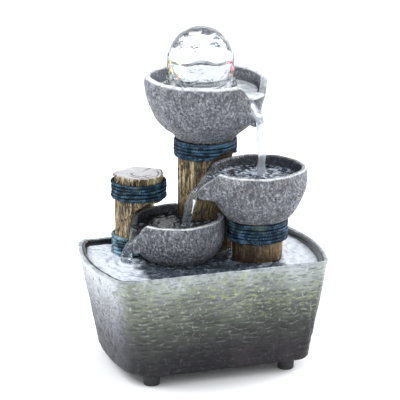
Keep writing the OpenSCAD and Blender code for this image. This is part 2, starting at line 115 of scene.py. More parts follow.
# ------------------------------------------------------------------ meshes
def mesh_piece(name, v, faces, mat, attrs=None, shade=True):
    """v in mm, in the basin's frame. Faces: an (n,4) or (n,3) array, or a list of both."""
    v = (np.asarray(v, float) + OFF) * 0.001
    me = bpy.data.meshes.new(name)
    groups = [np.asarray(f, np.int64) for f in (faces if isinstance(faces, list) else [faces]) if len(f)]
    c0 = v.mean(0)
    if sum(((v[g[:, 0]] - c0) * np.cross(v[g[:, k]] - c0, v[g[:, k + 1]] - c0)).sum() for g in groups for k in range(1, g.shape[1] - 1)) < 0:
        groups = [g[:, ::-1] for g in groups]
    loops = np.concatenate([g.ravel() for g in groups])
    sizes = np.concatenate([np.full(len(g), g.shape[1]) for g in groups])
    starts = np.concatenate([[0], np.cumsum(sizes)[:-1]])
    me.vertices.add(len(v)); me.vertices.foreach_set("co", v.ravel())
    me.loops.add(len(loops)); me.loops.foreach_set("vertex_index", loops)
    me.polygons.add(len(sizes)); me.polygons.foreach_set("loop_start", starts)
    me.update(calc_edges=True); me.validate()
    me.polygons.foreach_set("use_smooth", np.full(len(me.polygons), shade))
    for k, a in (attrs or {}).items():
        at = me.attributes.new(k, "FLOAT", "POINT"); at.data.foreach_set("value", np.asarray(a, float))
    me.materials.append(mat)
    o = bpy.data.objects.new(name, me)
    bpy.context.scene.collection.objects.link(o)
    return o

def grid_faces(rows, cols, wrap=True, base=0):
    i = np.arange(rows - 1)[:, None]; j = np.arange(cols if wrap else cols - 1)[None, :]
    a = i * cols + j; b = i * cols + (j + 1) % cols
    return np.stack([a, b, b + cols, a + cols], -1).reshape(-1, 4) + base

def normals_of(v, faces):
    n = np.zeros_like(v)
    for f in (faces if isinstance(faces, list) else [faces]):
        f = np.asarray(f)
        if f.shape[1] == 4:
            c = np.cross(v[f[:, 2]] - v[f[:, 0]], v[f[:, 3]] - v[f[:, 1]])
        else:
            c = np.cross(v[f[:, 1]] - v[f[:, 0]], v[f[:, 2]] - v[f[:, 0]])
        for k in range(f.shape[1]):
            np.add.at(n, f[:, k], c)
    return n / np.maximum(np.linalg.norm(n, axis=1, keepdims=True), 1e-9)

def surface_nets(f, origin, h):
    """A quad mesh of f = 0, with f below 0 inside."""
    s = f < 0
    nx, ny, nz = f.shape
    acc = np.zeros((nx - 1, ny - 1, nz - 1, 3)); cnt = np.zeros((nx - 1, ny - 1, nz - 1))
    for ax in range(3):
        for du in (0, 1):
            for dv in (0, 1):
                o = [0, 0, 0]; u, w = [k for k in range(3) if k != ax]
                o[u], o[w] = du, dv
                sl0 = tuple(slice(o[k], o[k] + f.shape[k] - 1) for k in range(3))
                o2 = list(o); o2[ax] = 1
                sl1 = tuple(slice(o2[k], o2[k] + f.shape[k] - 1) for k in range(3))
                a, b = f[sl0], f[sl1]; m = s[sl0] != s[sl1]
                t = np.where(m, a / np.where(m, a - b, 1), 0)
                for k in range(3):
                    acc[..., k] += np.where(m, t if k == ax else o[k], 0)
                cnt += m
    act = cnt > 0
    idx = np.full(act.shape, -1, np.int64); idx[act] = np.arange(act.sum())
    cell = np.argwhere(act)
    v = (cell + acc[act] / cnt[act][:, None]) * h + np.asarray(origin)
    quads = []
    for ax in range(3):
        u, w = (ax + 1) % 3, (ax + 2) % 3
        sl0 = [slice(None)] * 3; sl1 = [slice(None)] * 3
        sl0[ax] = slice(0, f.shape[ax] - 1); sl1[ax] = slice(1, f.shape[ax])
        a, b = s[tuple(sl0)], s[tuple(sl1)]
        e = np.argwhere(a != b); sign = a[tuple(e.T)]
        ok = (e[:, u] > 0) & (e[:, w] > 0) & (e[:, u] < f.shape[u] - 1) & (e[:, w] < f.shape[w] - 1)
        e, sign = e[ok], sign[ok]
        q = []
        for du, dw in ((-1, -1), (0, -1), (0, 0), (-1, 0)):
            c = e.copy(); c[:, u] += du; c[:, w] += dw
            q.append(idx[tuple(c.T)])
        q = np.stack(q, 1); q[~sign] = q[~sign][:, ::-1]
        quads.append(q)
    return v, np.concatenate(quads)

def profile_sdf(pts, lo, hi, h):
    """Signed distance on a grid to a closed polygon in the (r, z) half plane, mirrored over the axis."""
    pts = np.asarray(pts, float)
    r = np.arange(lo[0], hi[0] + h, h); z = np.arange(lo[1], hi[1] + h, h)
    R, Z = np.meshgrid(r, z, indexing="ij")
    d = np.full(R.shape, 1e9); inside = np.zeros(R.shape, bool)
    for a, b in zip(pts, np.roll(pts, -1, 0)):
        e = b - a; L = (e * e).sum()
        if not (a[0] == 0 and b[0] == 0):
            t = np.clip(((R - a[0]) * e[0] + (Z - a[1]) * e[1]) / max(L, 1e-9), 0, 1)
            d = np.minimum(d, np.hypot(R - a[0] - t * e[0], Z - a[1] - t * e[1]))
        c = (a[1] > Z) != (b[1] > Z)
        x = a[0] + (Z - a[1]) * (b[0] - a[0]) / (b[1] - a[1] if b[1] != a[1] else 1e-9)
        inside ^= c & (R < x)
    return np.where(inside, -d, d), lo, h

def sample(grid, r, z):
    g, lo, h = grid
    x = np.clip((r - lo[0]) / h, 0, g.shape[0] - 1.001); y = np.clip((z - lo[1]) / h, 0, g.shape[1] - 1.001)
    i = x.astype(int); j = y.astype(int); fx = x - i; fy = y - j
    return g[i, j] * (1 - fx) * (1 - fy) + g[i + 1, j] * fx * (1 - fy) + g[i, j + 1] * (1 - fx) * fy + g[i + 1, j + 1] * fx * fy

def smin(a, b, k):
    h = np.clip(0.5 + 0.5 * (b - a) / k, 0, 1)
    return b * (1 - h) + a * h - k * h * (1 - h)

def smax(a, b, k):
    return -smin(-a, -b, k)

def spline(pts, n):
    """Catmull-Rom through the points."""
    p = np.asarray(pts, float); p = np.vstack([2 * p[0] - p[1], p, 2 * p[-1] - p[-2]])
    out = []
    segs = len(p) - 3
    for s in range(segs):
        m = n // segs + (1 if s == segs - 1 else 0)
        t = np.linspace(0, 1, m, endpoint=(s == segs - 1))[:, None]
        a, b, c, d = p[s:s + 4]
        out.append(0.5 * ((2 * b) + (c - a) * t + (2 * a - 5 * b + 4 * c - d) * t ** 2 + (3 * b - a - 3 * c + d) * t ** 3))
    return np.vstack(out)

# ------------------------------------------------------------------ materials
def new_mat(name):
    m = bpy.data.materials.new(name); m.use_nodes = True
    nt = m.node_tree; nt.nodes.clear()
    out = nt.nodes.new("ShaderNodeOutputMaterial"); b = nt.nodes.new("ShaderNodeBsdfPrincipled")
    nt.links.new(b.outputs[0], out.inputs[0])
    return m, nt, b

class N:
    """Short names for building a node tree."""
    def __init__(self, nt): self.nt = nt; self.tc = nt.nodes.new("ShaderNodeTexCoord").outputs["Object"]
    def _in(self, sock, v):
        if hasattr(v, "is_linked") or isinstance(v, bpy.types.NodeSocket): self.nt.links.new(v, sock)
        else: sock.default_value = v
    def map(self, scale, vec=None, loc=(0, 0, 0), rot=(0, 0, 0)):
        n = self.nt.nodes.new("ShaderNodeMapping"); self.nt.links.new(vec or self.tc, n.inputs[0])
        n.inputs[1].default_value = loc; n.inputs[2].default_value = rot; n.inputs[3].default_value = scale
        return n.outputs[0]
    def noise(self, scale, detail=3, rough=0.5, vec=None, dist=0.0):
        n = self.nt.nodes.new("ShaderNodeTexNoise"); self.nt.links.new(vec or self.tc, n.inputs["Vector"])
        n.inputs["Scale"].default_value = scale; n.inputs["Detail"].default_value = detail
        n.inputs["Roughness"].default_value = rough; n.inputs["Distortion"].default_value = dist
        return n.outputs[0]
    def voro(self, scale, vec=None, feature="F1", rand=1.0):
        n = self.nt.nodes.new("ShaderNodeTexVoronoi"); n.feature = feature
        self.nt.links.new(vec or self.tc, n.inputs["Vector"]); n.inputs["Scale"].default_value = scale
        n.inputs["Randomness"].default_value = rand
        return n.outputs[0]
    def attr(self, name):
        n = self.nt.nodes.new("ShaderNodeAttribute"); n.attribute_name = name; n.attribute_type = "GEOMETRY"
        return n.outputs["Fac"]
    def z(self):
        n = self.nt.nodes.new("ShaderNodeSeparateXYZ"); self.nt.links.new(self.tc, n.inputs[0]); return n.outputs
    def math(self, op, a, b=0.0, c=None, clamp=False):
        n = self.nt.nodes.new("ShaderNodeMath"); n.operation = op; n.use_clamp = clamp
        self._in(n.inputs[0], a); self._in(n.inputs[1], b)
        if c is not None: self._in(n.inputs[2], c)
        return n.outputs[0]
    def ramp(self, fac, stops, mode="LINEAR"):
        n = self.nt.nodes.new("ShaderNodeValToRGB"); n.color_ramp.interpolation = mode
        e = n.color_ramp.elements
        while len(e) < len(stops): e.new(0.5)
        for k, (p, c) in enumerate(stops):
            e[k].position = p; e[k].color = (*c, 1) if len(c) == 3 else c
        self._in(n.inputs[0], fac); return n.outputs[0]
    def fit(self, v, a, b, c=0.0, d=1.0):
        n = self.nt.nodes.new("ShaderNodeMapRange"); n.clamp = True
        self._in(n.inputs[0], v)
        for k, x in enumerate((a, b, c, d)): n.inputs[k + 1].default_value = x
        return n.outputs[0]
    def mix(self, fac, a, b, mode="MIX"):
        n = self.nt.nodes.new("ShaderNodeMix"); n.data_type = "RGBA"; n.blend_type = mode
        self._in(n.inputs[0], fac)
        self._in(n.inputs[6], (*a, 1) if isinstance(a, tuple) and len(a) == 3 else a)
        self._in(n.inputs[7], (*b, 1) if isinstance(b, tuple) and len(b) == 3 else b)
        return n.outputs[2]
    def bump(self, height, strength=0.3, dist=0.001, normal=None):
        n = self.nt.nodes.new("ShaderNodeBump"); n.inputs["Strength"].default_value = strength
        n.inputs["Distance"].default_value = dist; self._in(n.inputs["Height"], height)
        if normal is not None: self._in(n.inputs["Normal"], normal)
        return n.outputs[0]
    def link(self, v, sock): self.nt.links.new(v, sock)

def mat_basin():
    m, nt, b = new_mat("m_basin"); k = N(nt)
    z = k.z()[2]
    big = k.noise(28, 4, 0.55); fine = k.noise(420, 3, 0.6); streak = k.noise(60, 3, 0.6, vec=k.map((1, 1, 4.5)))
    zz = k.math("ADD", z, k.math("MULTIPLY", k.math("SUBTRACT", big, 0.5), 0.03))
    zz = k.math("ADD", zz, k.math("MULTIPLY", k.math("SUBTRACT", streak, 0.5), 0.010))
    face = k.ramp(k.fit(zz, 0.006, 0.092), [(0.0, (0.008, 0.007, 0.011)), (0.22, (0.015, 0.014, 0.018)), (0.40, (0.030, 0.031, 0.030)),
        (0.55, (0.058, 0.062, 0.058)), (0.72, (0.150, 0.162, 0.155)), (0.86, (0.36, 0.385, 0.38)), (1.0, (0.47, 0.50, 0.52))])
    end = k.ramp(k.fit(zz, 0.006, 0.092), [(0.0, (0.030, 0.030, 0.036)), (0.25, (0.068, 0.068, 0.080)), (0.5, (0.18, 0.185, 0.21)),
        (0.75, (0.46, 0.48, 0.52)), (1.0, (0.70, 0.73, 0.77))])
    col = k.mix(k.attr("endw"), face, end)
    # moss tint in flat streaks, high on the faces and strongest on the long one
    flat = k.map((1, 1, 2.4))
    moss = k.math("MULTIPLY", k.fit(k.noise(190, 5, 0.7, vec=flat), 0.50, 0.60, 0.0, 0.58), k.math("MULTIPLY", k.fit(z, 0.042, 0.066), k.fit(z, 0.104, 0.088)))
    moss = k.math("MULTIPLY", moss, k.fit(k.attr("endw"), 0.0, 1.0, 1.0, 0.12))
    moss = k.math("MULTIPLY", moss, k.fit(k.noise(20, 2, 0.5), 0.40, 0.56, 0.25, 1.0))
    col = k.mix(moss, col, (0.44, 0.50, 0.21))
    green = k.math("MULTIPLY", k.fit(k.noise(60, 3, 0.5, vec=flat), 0.42, 0.64), k.fit(z, 0.022, 0.05, 0.0, 0.26))
    col = k.mix(k.math("MULTIPLY", green, k.fit(k.attr("endw"), 0.0, 1.0, 1.0, 0.15)), col, (0.18, 0.215, 0.16))
    brown = k.math("MULTIPLY", k.fit(k.noise(22, 3, 0.5), 0.5, 0.62), k.fit(z, 0.040, 0.016, 0.0, 0.30))
    col = k.mix(brown, col, (0.060, 0.040, 0.050))
    edge = k.math("MULTIPLY", k.attr("corner"), k.fit(k.noise(110, 3, 0.6, vec=k.map((1, 1, 0.22))), 0.40, 0.60, 0.25, 0.80))
    col = k.mix(edge, col, k.mix(k.fit(z, 0.015, 0.080), (0.022, 0.020, 0.020), (0.17, 0.19, 0.15)))
    # darker in the hollows of the strokes and pits and lighter on their raised lips: partly the resin's dark wash and
    # dry-brush, partly painted shade and painted highlight
    rel = k.attr("relief")
    col = k.mix(k.fit(rel, -0.1, -1.0, 0.0, 0.66), col, k.mix(k.fit(z, 0.02, 0.07), (0.012, 0.012, 0.012), (0.075, 0.085, 0.075)))
    col = k.mix(k.math("MULTIPLY", k.fit(rel, 0.12, 0.9, 0.0, 0.40), k.math("MULTIPLY", k.fit(z, 0.022, 0.050, 0.08, 1.0), k.fit(z, 0.080, 0.055, 0.45, 1.0))), col, (0.66, 0.69, 0.67))
    dash = k.fit(k.noise(300, 3, 0.6, vec=k.map((1, 1, 3.2))), 0.55, 0.64, 0.0, 0.60)
    col = k.mix(k.math("MULTIPLY", dash, k.fit(k.attr("endw"), 0.0, 1.0, 1.0, 0.35)), col, k.mix(k.fit(z, 0.02, 0.07), (0.014, 0.014, 0.014), (0.10, 0.115, 0.10)))
    speck = k.fit(k.noise(420, 3, 0.6), 0.56, 0.70, 0.0, 0.38)
    col = k.mix(speck, col, (0.10, 0.10, 0.105))
    stip = k.math("MULTIPLY", k.fit(k.noise(520, 3, 0.65), 0.52, 0.60, 0.0, 0.75), k.attr("endw"))
    col = k.mix(k.math("MULTIPLY", stip, k.fit(z, 0.086, 0.050, 0.25, 1.0)), col, (0.055, 0.055, 0.062))
    speck2 = k.math("MULTIPLY", k.fit(k.noise(360, 2, 0.5), 0.60, 0.72, 0.0, 0.35), k.fit(z, 0.030, 0.065, 0.05, 1.0))
    col = k.mix(speck2, col, (0.76, 0.78, 0.78))
    col = k.mix(k.math("MULTIPLY", k.attr("rim_tone_and_highlight"), 0.75), col, k.mix(k.fit(k.noise(150, 3, 0.6), 0.35, 0.65), (0.14, 0.165, 0.185), (0.46, 0.49, 0.51)))
    k.link(col, b.inputs["Base Color"])
    k.link(k.fit(k.noise(180, 3, 0.5), 0.3, 0.7, 0.42, 0.66), b.inputs["Roughness"])
    k.link(k.bump(k.math("ADD", k.noise(700, 4, 0.65), k.math("MULTIPLY", k.voro(420), 0.7)), 0.35, 0.0006), b.inputs["Normal"])
    b.inputs["Specular IOR Level"].default_value = 0.28
    return m

def mat_bowl(name, warm=0.0, light=1.0):
    m, nt, b = new_mat(name); k = N(nt)
    base = k.ramp(k.noise(90, 4, 0.6), [(0.25, (0.090 * light, 0.095 * light, 0.112 * light)), (0.5, (0.150 * light, 0.158 * light, 0.185 * light)), (0.78, (0.245 * light, 0.255 * light, 0.290 * light))])
    rel = k.attr("relief"); wet_and_inner_shade = k.attr("wet_and_inner_shade"); rim = k.attr("rim_tone_and_highlight")
    brown = k.fit(k.noise(45, 3, 0.5), 0.50, 0.70, 0.0, 0.30 + warm)
    col = k.mix(brown, base, (0.20, 0.175, 0.14))
    slant = k.noise(520, 4, 0.65, vec=k.map((1, 1, 0.42), rot=(0.45, 0.35, 0.2)))
    col = k.mix(k.fit(slant, 0.53, 0.62, 0.0, 0.75), col, (0.065, 0.065, 0.080))
    col = k.mix(k.fit(slant, 0.46, 0.37, 0.0, 0.62), col, (0.42, 0.435, 0.485))
    dots = k.fit(k.voro(560), 0.46, 0.22, 0.0, 0.95)
    dark = k.math("MULTIPLY", dots, k.fit(k.noise(260, 2, 0.5), 0.42, 0.58, 0.35, 1.0))
    col = k.mix(dark, col, (0.026, 0.026, 0.034))
    lightspk = k.fit(k.noise(520, 2, 0.55, vec=k.map((1, 1, 1), loc=(3, 5, 1))), 0.57, 0.67, 0.0, 0.55)
    col = k.mix(lightspk, col, (0.52, 0.54, 0.59))
    # painted shade in the pits and hollows, painted highlight on the raised stone
    col = k.mix(k.fit(rel, -0.05, -0.8, 0.0, 0.8), col, (0.04, 0.04, 0.045))
    col = k.mix(k.fit(rel, 0.2, 1.0, 0.0, 0.45), col, (0.60, 0.61, 0.62))
    # painted highlight: the rim top and the spout's upper edges near white
    col = k.mix(k.fit(rim, 0.0, 1.0, 0.0, 0.88), col, k.mix(k.fit(k.noise(240, 3, 0.6), 0.35, 0.58), (0.48, 0.49, 0.51), (0.90, 0.91, 0.93)))
    # darker where wet, and painted shade over the inside of the bowl up to the rim
    col = k.mix(k.fit(wet_and_inner_shade, 0.0, 1.0, 0.0, 0.80), col, (0.022, 0.026, 0.036))
    k.link(col, b.inputs["Base Color"])
    k.link(k.fit(wet_and_inner_shade, 0.0, 1.0, 0.50, 0.12), b.inputs["Roughness"])
    k.link(k.bump(k.math("ADD", k.noise(900, 3, 0.6), k.math("MULTIPLY", k.voro(560), -0.8)), 0.9, 0.0009), b.inputs["Normal"])
    return m

def mat_wood(name, tint=(1, 1, 1), dark=0.0, warm=None):
    m, nt, b = new_mat(name); k = N(nt)
    g = k.noise(330, 5, 0.62, vec=k.map((1, 1, 0.10)), dist=0.6)
    c = lambda r, gg, bb: (r * tint[0], gg * tint[1], bb * tint[2])
    col = k.ramp(g, [(0.39, c(0.012, 0.009, 0.007)), (0.47, c(0.10, 0.068, 0.038)), (0.55, c(0.36, 0.275, 0.165)), (0.66, c(0.78, 0.69, 0.53))])
    rel = k.attr("relief")
    # painted shade in the grain's grooves, painted highlight on its ridges
    col = k.mix(k.fit(rel, 0.0, -0.85, 0.0, 0.88), col, c(0.035, 0.018, 0.008))
    col = k.mix(k.fit(rel, 0.15, 0.9, 0.0, 0.55), col, c(0.70, 0.58, 0.40))
    moss = k.fit(k.noise(70, 4, 0.6), 0.52, 0.66, 0.0, 0.40)
    col = k.mix(moss, col, c(0.36, 0.33, 0.14))
    if warm:    # painted shade on one side of the post and painted light, golden, on the other, set by its x position
        x0, x1, lit_side_colour = warm
        col = k.mix(k.fit(k.math("ADD", k.z()[0], k.math("MULTIPLY", k.noise(60, 3, 0.6), 0.012)), x0, x1, 0.0, 0.75), k.mix(0.72, col, (0.016, 0.012, 0.013)), k.mix(0.45, col, lit_side_colour))
    col = k.mix(k.attr("shade"), col, (0.045, 0.020, 0.010))
    col = k.mix(k.attr("topw"), col, k.ramp(k.attr("ring"), [(0.0, (0.085, 0.065, 0.055)), (0.30, (0.25, 0.22, 0.21)), (0.60, (0.52, 0.50, 0.51)), (1.0, (0.68, 0.68, 0.70))]))
    k.link(col, b.inputs["Base Color"])
    k.link(k.fit(k.noise(200, 3, 0.5), 0.3, 0.7, 0.38 - dark * 0.15, 0.62 - dark * 0.2), b.inputs["Roughness"])
    k.link(k.bump(k.noise(800, 4, 0.65, vec=k.map((1, 1, 0.12))), 0.5, 0.0006), b.inputs["Normal"])
    return m

def mat_rope():
    m, nt, b = new_mat("m_cord"); k = N(nt)
    fib = k.noise(1400, 3, 0.6)
    col = k.ramp(k.noise(110, 4, 0.6), [(0.34, (0.001, 0.005, 0.012)), (0.5, (0.008, 0.029, 0.056)), (0.64, (0.075, 0.18, 0.27))])
    # painted highlights: pale blue flecks along the fibres
    col = k.mix(k.math("MULTIPLY", k.fit(fib, 0.50, 0.64, 0.0, 0.75), k.fit(k.noise(170, 2, 0.5), 0.46, 0.60, 0.1, 1.0)), col, (0.24, 0.46, 0.64))
    # painted shade in the grooves and between the turns
    col = k.mix(k.fit(k.attr("relief"), 0.0, -1.0, 0.0, 0.92), col, (0.003, 0.008, 0.014))
    col = k.mix(k.fit(k.noise(60, 3, 0.5), 0.56, 0.70, 0.0, 0.45), col, (0.13, 0.17, 0.13))
    col = k.mix(k.attr("pale"), col, (0.42, 0.60, 0.72))
    k.link(col, b.inputs["Base Color"])
    k.link(k.fit(fib, 0.3, 0.7, 0.55, 0.85), b.inputs["Roughness"])
    k.link(k.bump(fib, 0.7, 0.0004), b.inputs["Normal"])
    b.inputs["Specular IOR Level"].default_value = 0.15
    return m

def mat_plain(name, lo, hi, rough=(0.35, 0.55), scale=260, bump=0.15, metal=0.0, spec=0.5):
    m, nt, b = new_mat(name); k = N(nt)
    k.link(k.ramp(k.noise(scale, 4, 0.6), [(0.3, lo), (0.7, hi)]), b.inputs["Base Color"])
    k.link(k.fit(k.noise(scale * 1.7, 3, 0.5), 0.3, 0.7, *rough), b.inputs["Roughness"])
    k.link(k.bump(k.noise(scale * 4, 3, 0.6), bump, 0.0004), b.inputs["Normal"])
    b.inputs["Metallic"].default_value = metal; b.inputs["Specular IOR Level"].default_value = spec
    return m

def mat_clear(name, tint=(0.96, 0.98, 1.0), ior=1.49, rough=0.02, bump=0.04, scale=160):
    m, nt, b = new_mat(name); k = N(nt)
    k.link(k.ramp(k.noise(scale, 3, 0.5), [(0.3, tuple(0.94 * c for c in tint)), (0.7, tint)]), b.inputs["Base Color"])
    k.link(k.fit(k.noise(scale * 2, 3, 0.5), 0.4, 0.7, rough, rough + 0.04), b.inputs["Roughness"])
    k.link(k.bump(k.noise(scale, 2, 0.5), bump, 0.0006), b.inputs["Normal"])
    b.inputs["Transmission Weight"].default_value = 1.0; b.inputs["IOR"].default_value = ior
    return m

def mat_pool(name, deep, pale, trans, lo=0.45, hi=0.62, scale=150, bump=0.35, calm=0.30):
    """Standing water: a deep colour, with pale patches painted in as reflections, and pale foam where it is stirred."""
    m, nt, b = new_mat(name); k = N(nt)
    # painted reflection: pale mottling over the surface, weaker where the water is calm
    f = k.math("MAXIMUM", k.fit(k.noise(scale, 4, 0.6, dist=1.2), lo, hi, 0.0, 1.0), 0.0)
    f = k.math("MULTIPLY", f, k.fit(k.attr("foam_and_painted_reflection"), 0.0, 1.0, calm, 1.0))
    # pale from the per-vertex attribute: foam where the streams land, painted reflection at the basin's ends and over
    # the top pool
    f = k.math("MAXIMUM", f, k.fit(k.math("ADD", k.attr("foam_and_painted_reflection"), k.math("MULTIPLY", k.math("SUBTRACT", k.noise(90, 3, 0.5), 0.5), 1.4)), 0.30, 0.85, 0.0, 0.97))
    k.link(k.mix(f, deep, pale), b.inputs["Base Color"])
    k.link(k.fit(f, 0.0, 1.0, trans, trans * 0.4), b.inputs["Transmission Weight"])
    k.link(k.bump(k.noise(scale * 1.6, 3, 0.5, dist=0.8), bump, 0.0009), b.inputs["Normal"])
    k.link(k.fit(k.noise(300, 2, 0.5), 0.4, 0.7, 0.02, 0.07), b.inputs["Roughness"])
    b.inputs["IOR"].default_value = 1.36; b.inputs["Specular IOR Level"].default_value = 0.8
    return m

def mat_skirt(name):
    """The film that runs off the ball, with coloured glints painted in as emission, standing in for the lamp's light
    caught in it.
    """
    m, nt, b = new_mat(name); k = N(nt)
    k.link(k.ramp(k.noise(160, 3, 0.5), [(0.3, (0.95, 0.97, 0.98)), (0.7, (1.0, 1.0, 1.0))]), b.inputs["Base Color"])
    k.link(k.bump(k.noise(200, 3, 0.5, dist=0.6), 0.15, 0.0006), b.inputs["Normal"])
    k.link(k.fit(k.noise(300, 2, 0.5), 0.4, 0.7, 0.01, 0.05), b.inputs["Roughness"])
    # painted glints: coloured emission, green and orange on the left, pink on the right
    left = k.ramp(k.noise(170, 1, 0.4), [(0.40, (0.15, 0.60, 0.25)), (0.50, (0.85, 0.75, 0.30)), (0.60, (0.95, 0.40, 0.15))], "EASE")
    right = k.ramp(k.noise(170, 1, 0.4), [(0.42, (1.0, 0.18, 0.42)), (0.60, (1.0, 0.45, 0.35))], "EASE")
    spots = k.fit(k.noise(300, 3, 0.6), 0.49, 0.60, 0.0, 1.0)
    k.link(k.mix(k.fit(k.attr("side"), 0.45, 0.55), left, right), b.inputs["Emission Color"])
    k.link(k.math("MULTIPLY", k.math("MULTIPLY", k.attr("painted_glint"), spots), 0.85), b.inputs["Emission Strength"])
    b.inputs["Transmission Weight"].default_value = 1.0; b.inputs["IOR"].default_value = 1.25
    return m

def mat_ball(name):
    """Clear glass under running water: mostly clear, with pale blue-grey swirls in the film."""
    m, nt, b = new_mat(name); k = N(nt)
    sw = k.noise(95, 3, 0.55, dist=1.6)
    k.link(k.ramp(sw, [(0.40, (1.0, 1.0, 1.0)), (0.52, (0.88, 0.93, 0.98)), (0.60, (1.0, 1.0, 1.0))]), b.inputs["Base Color"])
    k.link(k.bump(k.math("ADD", k.noise(75, 2, 0.5, dist=1.0), k.math("MULTIPLY", sw, 0.6)), 0.60, 0.0014), b.inputs["Normal"])
    k.link(k.fit(k.noise(200, 2, 0.5), 0.4, 0.7, 0.0, 0.02), b.inputs["Roughness"])
    b.inputs["Transmission Weight"].default_value = 1.0; b.inputs["IOR"].default_value = 1.33
    return m

def mat_water(name, body=(0.70, 0.77, 0.83), trans=0.93, ior=1.33, rough=0.03, scale=240, bump=0.25):
    m, nt, b = new_mat(name); k = N(nt)
    k.link(k.ramp(k.noise(scale * 0.5, 3, 0.5), [(0.3, tuple(0.85 * c for c in body)), (0.7, body)]), b.inputs["Base Color"])
    k.link(k.bump(k.noise(scale, 3, 0.5, dist=0.8), bump, 0.0008), b.inputs["Normal"])
    k.link(k.fit(k.noise(scale * 2, 2, 0.5), 0.4, 0.7, rough, rough + 0.05), b.inputs["Roughness"])
    b.inputs["Transmission Weight"].default_value = trans; b.inputs["IOR"].default_value = ior
    b.inputs["Specular IOR Level"].default_value = 0.75
    return m

# ------------------------------------------------------------------ basin
BASE_Z, RIM_Z, FLOOR_Z, WALL = 8.0, 87.4, 13.0, 3.1

def outline(hl, hd, bow, r, r2, n_long, n_end, n_arc):
    """Corner radius r at the front right and rear left, r2 at the other two."""
    ex = lambda y: hl + bow * (1 - (y / hd) ** 2)
    def corner(r):
        cy = hd - r; f = math.atan(2 * bow * cy / (hd * hd)); y0 = cy + r * math.sin(f)
        return cy, f, y0, ex(y0) - r * math.cos(f)
    cy, f, y0, cx = corner(r); cy2, f2, y2, cx2 = corner(r2)
    a1 = np.linspace(-math.pi / 2, -f, n_arc + 1)[:-1]; ye = np.linspace(-y0, y2, n_end + 1)[:-1]
    a2 = np.linspace(f2, math.pi / 2, n_arc + 1)[:-1]
    xs = np.linspace(cx2, -cx, n_long + 1)[:-1]
    side = np.concatenate([np.stack([cx + r * np.cos(a1), -cy + r * np.sin(a1)], 1), np.stack([ex(ye), ye], 1),
                           np.stack([cx2 + r2 * np.cos(a2), cy2 + r2 * np.sin(a2)], 1), np.stack([xs, np.full(n_long, hd)], 1)])
    return np.vstack([side, -side])

def ring_xy(z, inset, n=(216, 120, 30)):
    t = (z - BASE_Z) / (RIM_Z - BASE_Z); L = lambda a, b: a + (b - a) * t
    return outline(L(69, 82) - inset, L(52, 58) - inset, L(6.5, 10), max(10 - inset, 2), max(L(26, 17) - inset, 2), *n)

def rim_wave(x, y, z):
    return 0.55 * fbm(np.stack([x / 9, y / 9, 0 * x], 1), 3, 77) * smooth(84.0, 87.0, z)

def build_liner():
    rows = [(13.05, 5.6), (14.5, WALL + 0.15), (60, WALL + 0.15), (84, WALL + 0.15), (86.3, WALL + 0.15), (86.85, WALL + 0.35), (86.95, WALL + 0.9),
            (86.6, WALL + 1.5), (85.6, WALL + 1.75), (83, WALL + 1.75), (60, WALL + 1.75), (17.5, WALL + 1.75), (15.3, WALL + 4.0)]
    rings = [ring_xy(z, i, (90, 60, 16)) for z, i in rows]; n = len(rings[0])
    v = np.array([[(p[0], p[1], rows[k][0]) for p in r] for k, r in enumerate(rings)]).reshape(-1, 3)
    v[:, 2] += rim_wave(v[:, 0], v[:, 1], v[:, 2]) * smooth(83.5, 86.5, v[:, 2])
    b0 = len(v); v = np.vstack([v, [[0, 0, 13.05]], [[0, 0, 15.3]]]); j = np.arange(n); jn = (j + 1) % n; L = (len(rows) - 1) * n
    o = mesh_piece("basin_liner_skin", v, [grid_faces(len(rows), n), np.vstack([np.stack([np.full(n, b0), jn, j], 1), np.stack([np.full(n, b0 + 1), L + j, L + jn], 1)])], M["gloss"])
    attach(o, "basin"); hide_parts("basin_liner")

def strokes(u, z, seed, pitch=3.5, row=10.0, half=4.9, width=0.70, depth=0.85):
    """Rows of short chiselled crescents. Returns the displacement and a relief value."""
    d = np.zeros_like(u); lip = np.zeros_like(u)
    k0 = np.floor(z / pitch).astype(np.int64)
    for dk in (-1, 0, 1):
        k = k0 + dk; ph = rnd(k, k * 0, k * 0, seed) * row
        j0 = np.floor((u + ph) / row).astype(np.int64)
        for dj in (-1, 0, 1):
            j = j0 + dj
            r = [rnd(k, j, k * 0 + q, seed + 5) for q in range(6)]
            top = smooth(60, 84, z)
            hh = half * (0.62 + 0.6 * r[0]) * (1 - 0.22 * top)
            cx = (j + 0.5) * row - ph + (r[1] - 0.5) * 3.2; cz = (k + 0.5) * pitch + (r[2] - 0.5) * 2.4
            ang = (r[3] - 0.5) * 0.36; sag = 0.4 + 1.1 * r[4]
            x = (u - cx) * np.cos(ang) + (z - cz) * np.sin(ang); y = -(u - cx) * np.sin(ang) + (z - cz) * np.cos(ang)
            q = x / hh; y = y - sag * q * q + 0.5 * sag
            body = np.clip(1 - q * q, 0, 1) ** 0.6; amp = np.where(r[5] < 0.3, 0.22 + r[5], 0.55 + 0.6 * r[5]) * (1 - 0.22 * smooth(48, 76, z))
            w = width * (0.75 + 0.4 * r[1])
            d = np.maximum(d, body * amp * np.exp(-(np.where(y > 0, y / (w * 1.15), y / (w * 0.8))) ** 2))
            lip = np.maximum(lip, body * amp * np.exp(-((y + w * 1.75) / (w * 0.75)) ** 2))
    return -depth * d + 0.30 * lip, np.clip(-d * 1.15 + 0.75 * lip, -1, 1)

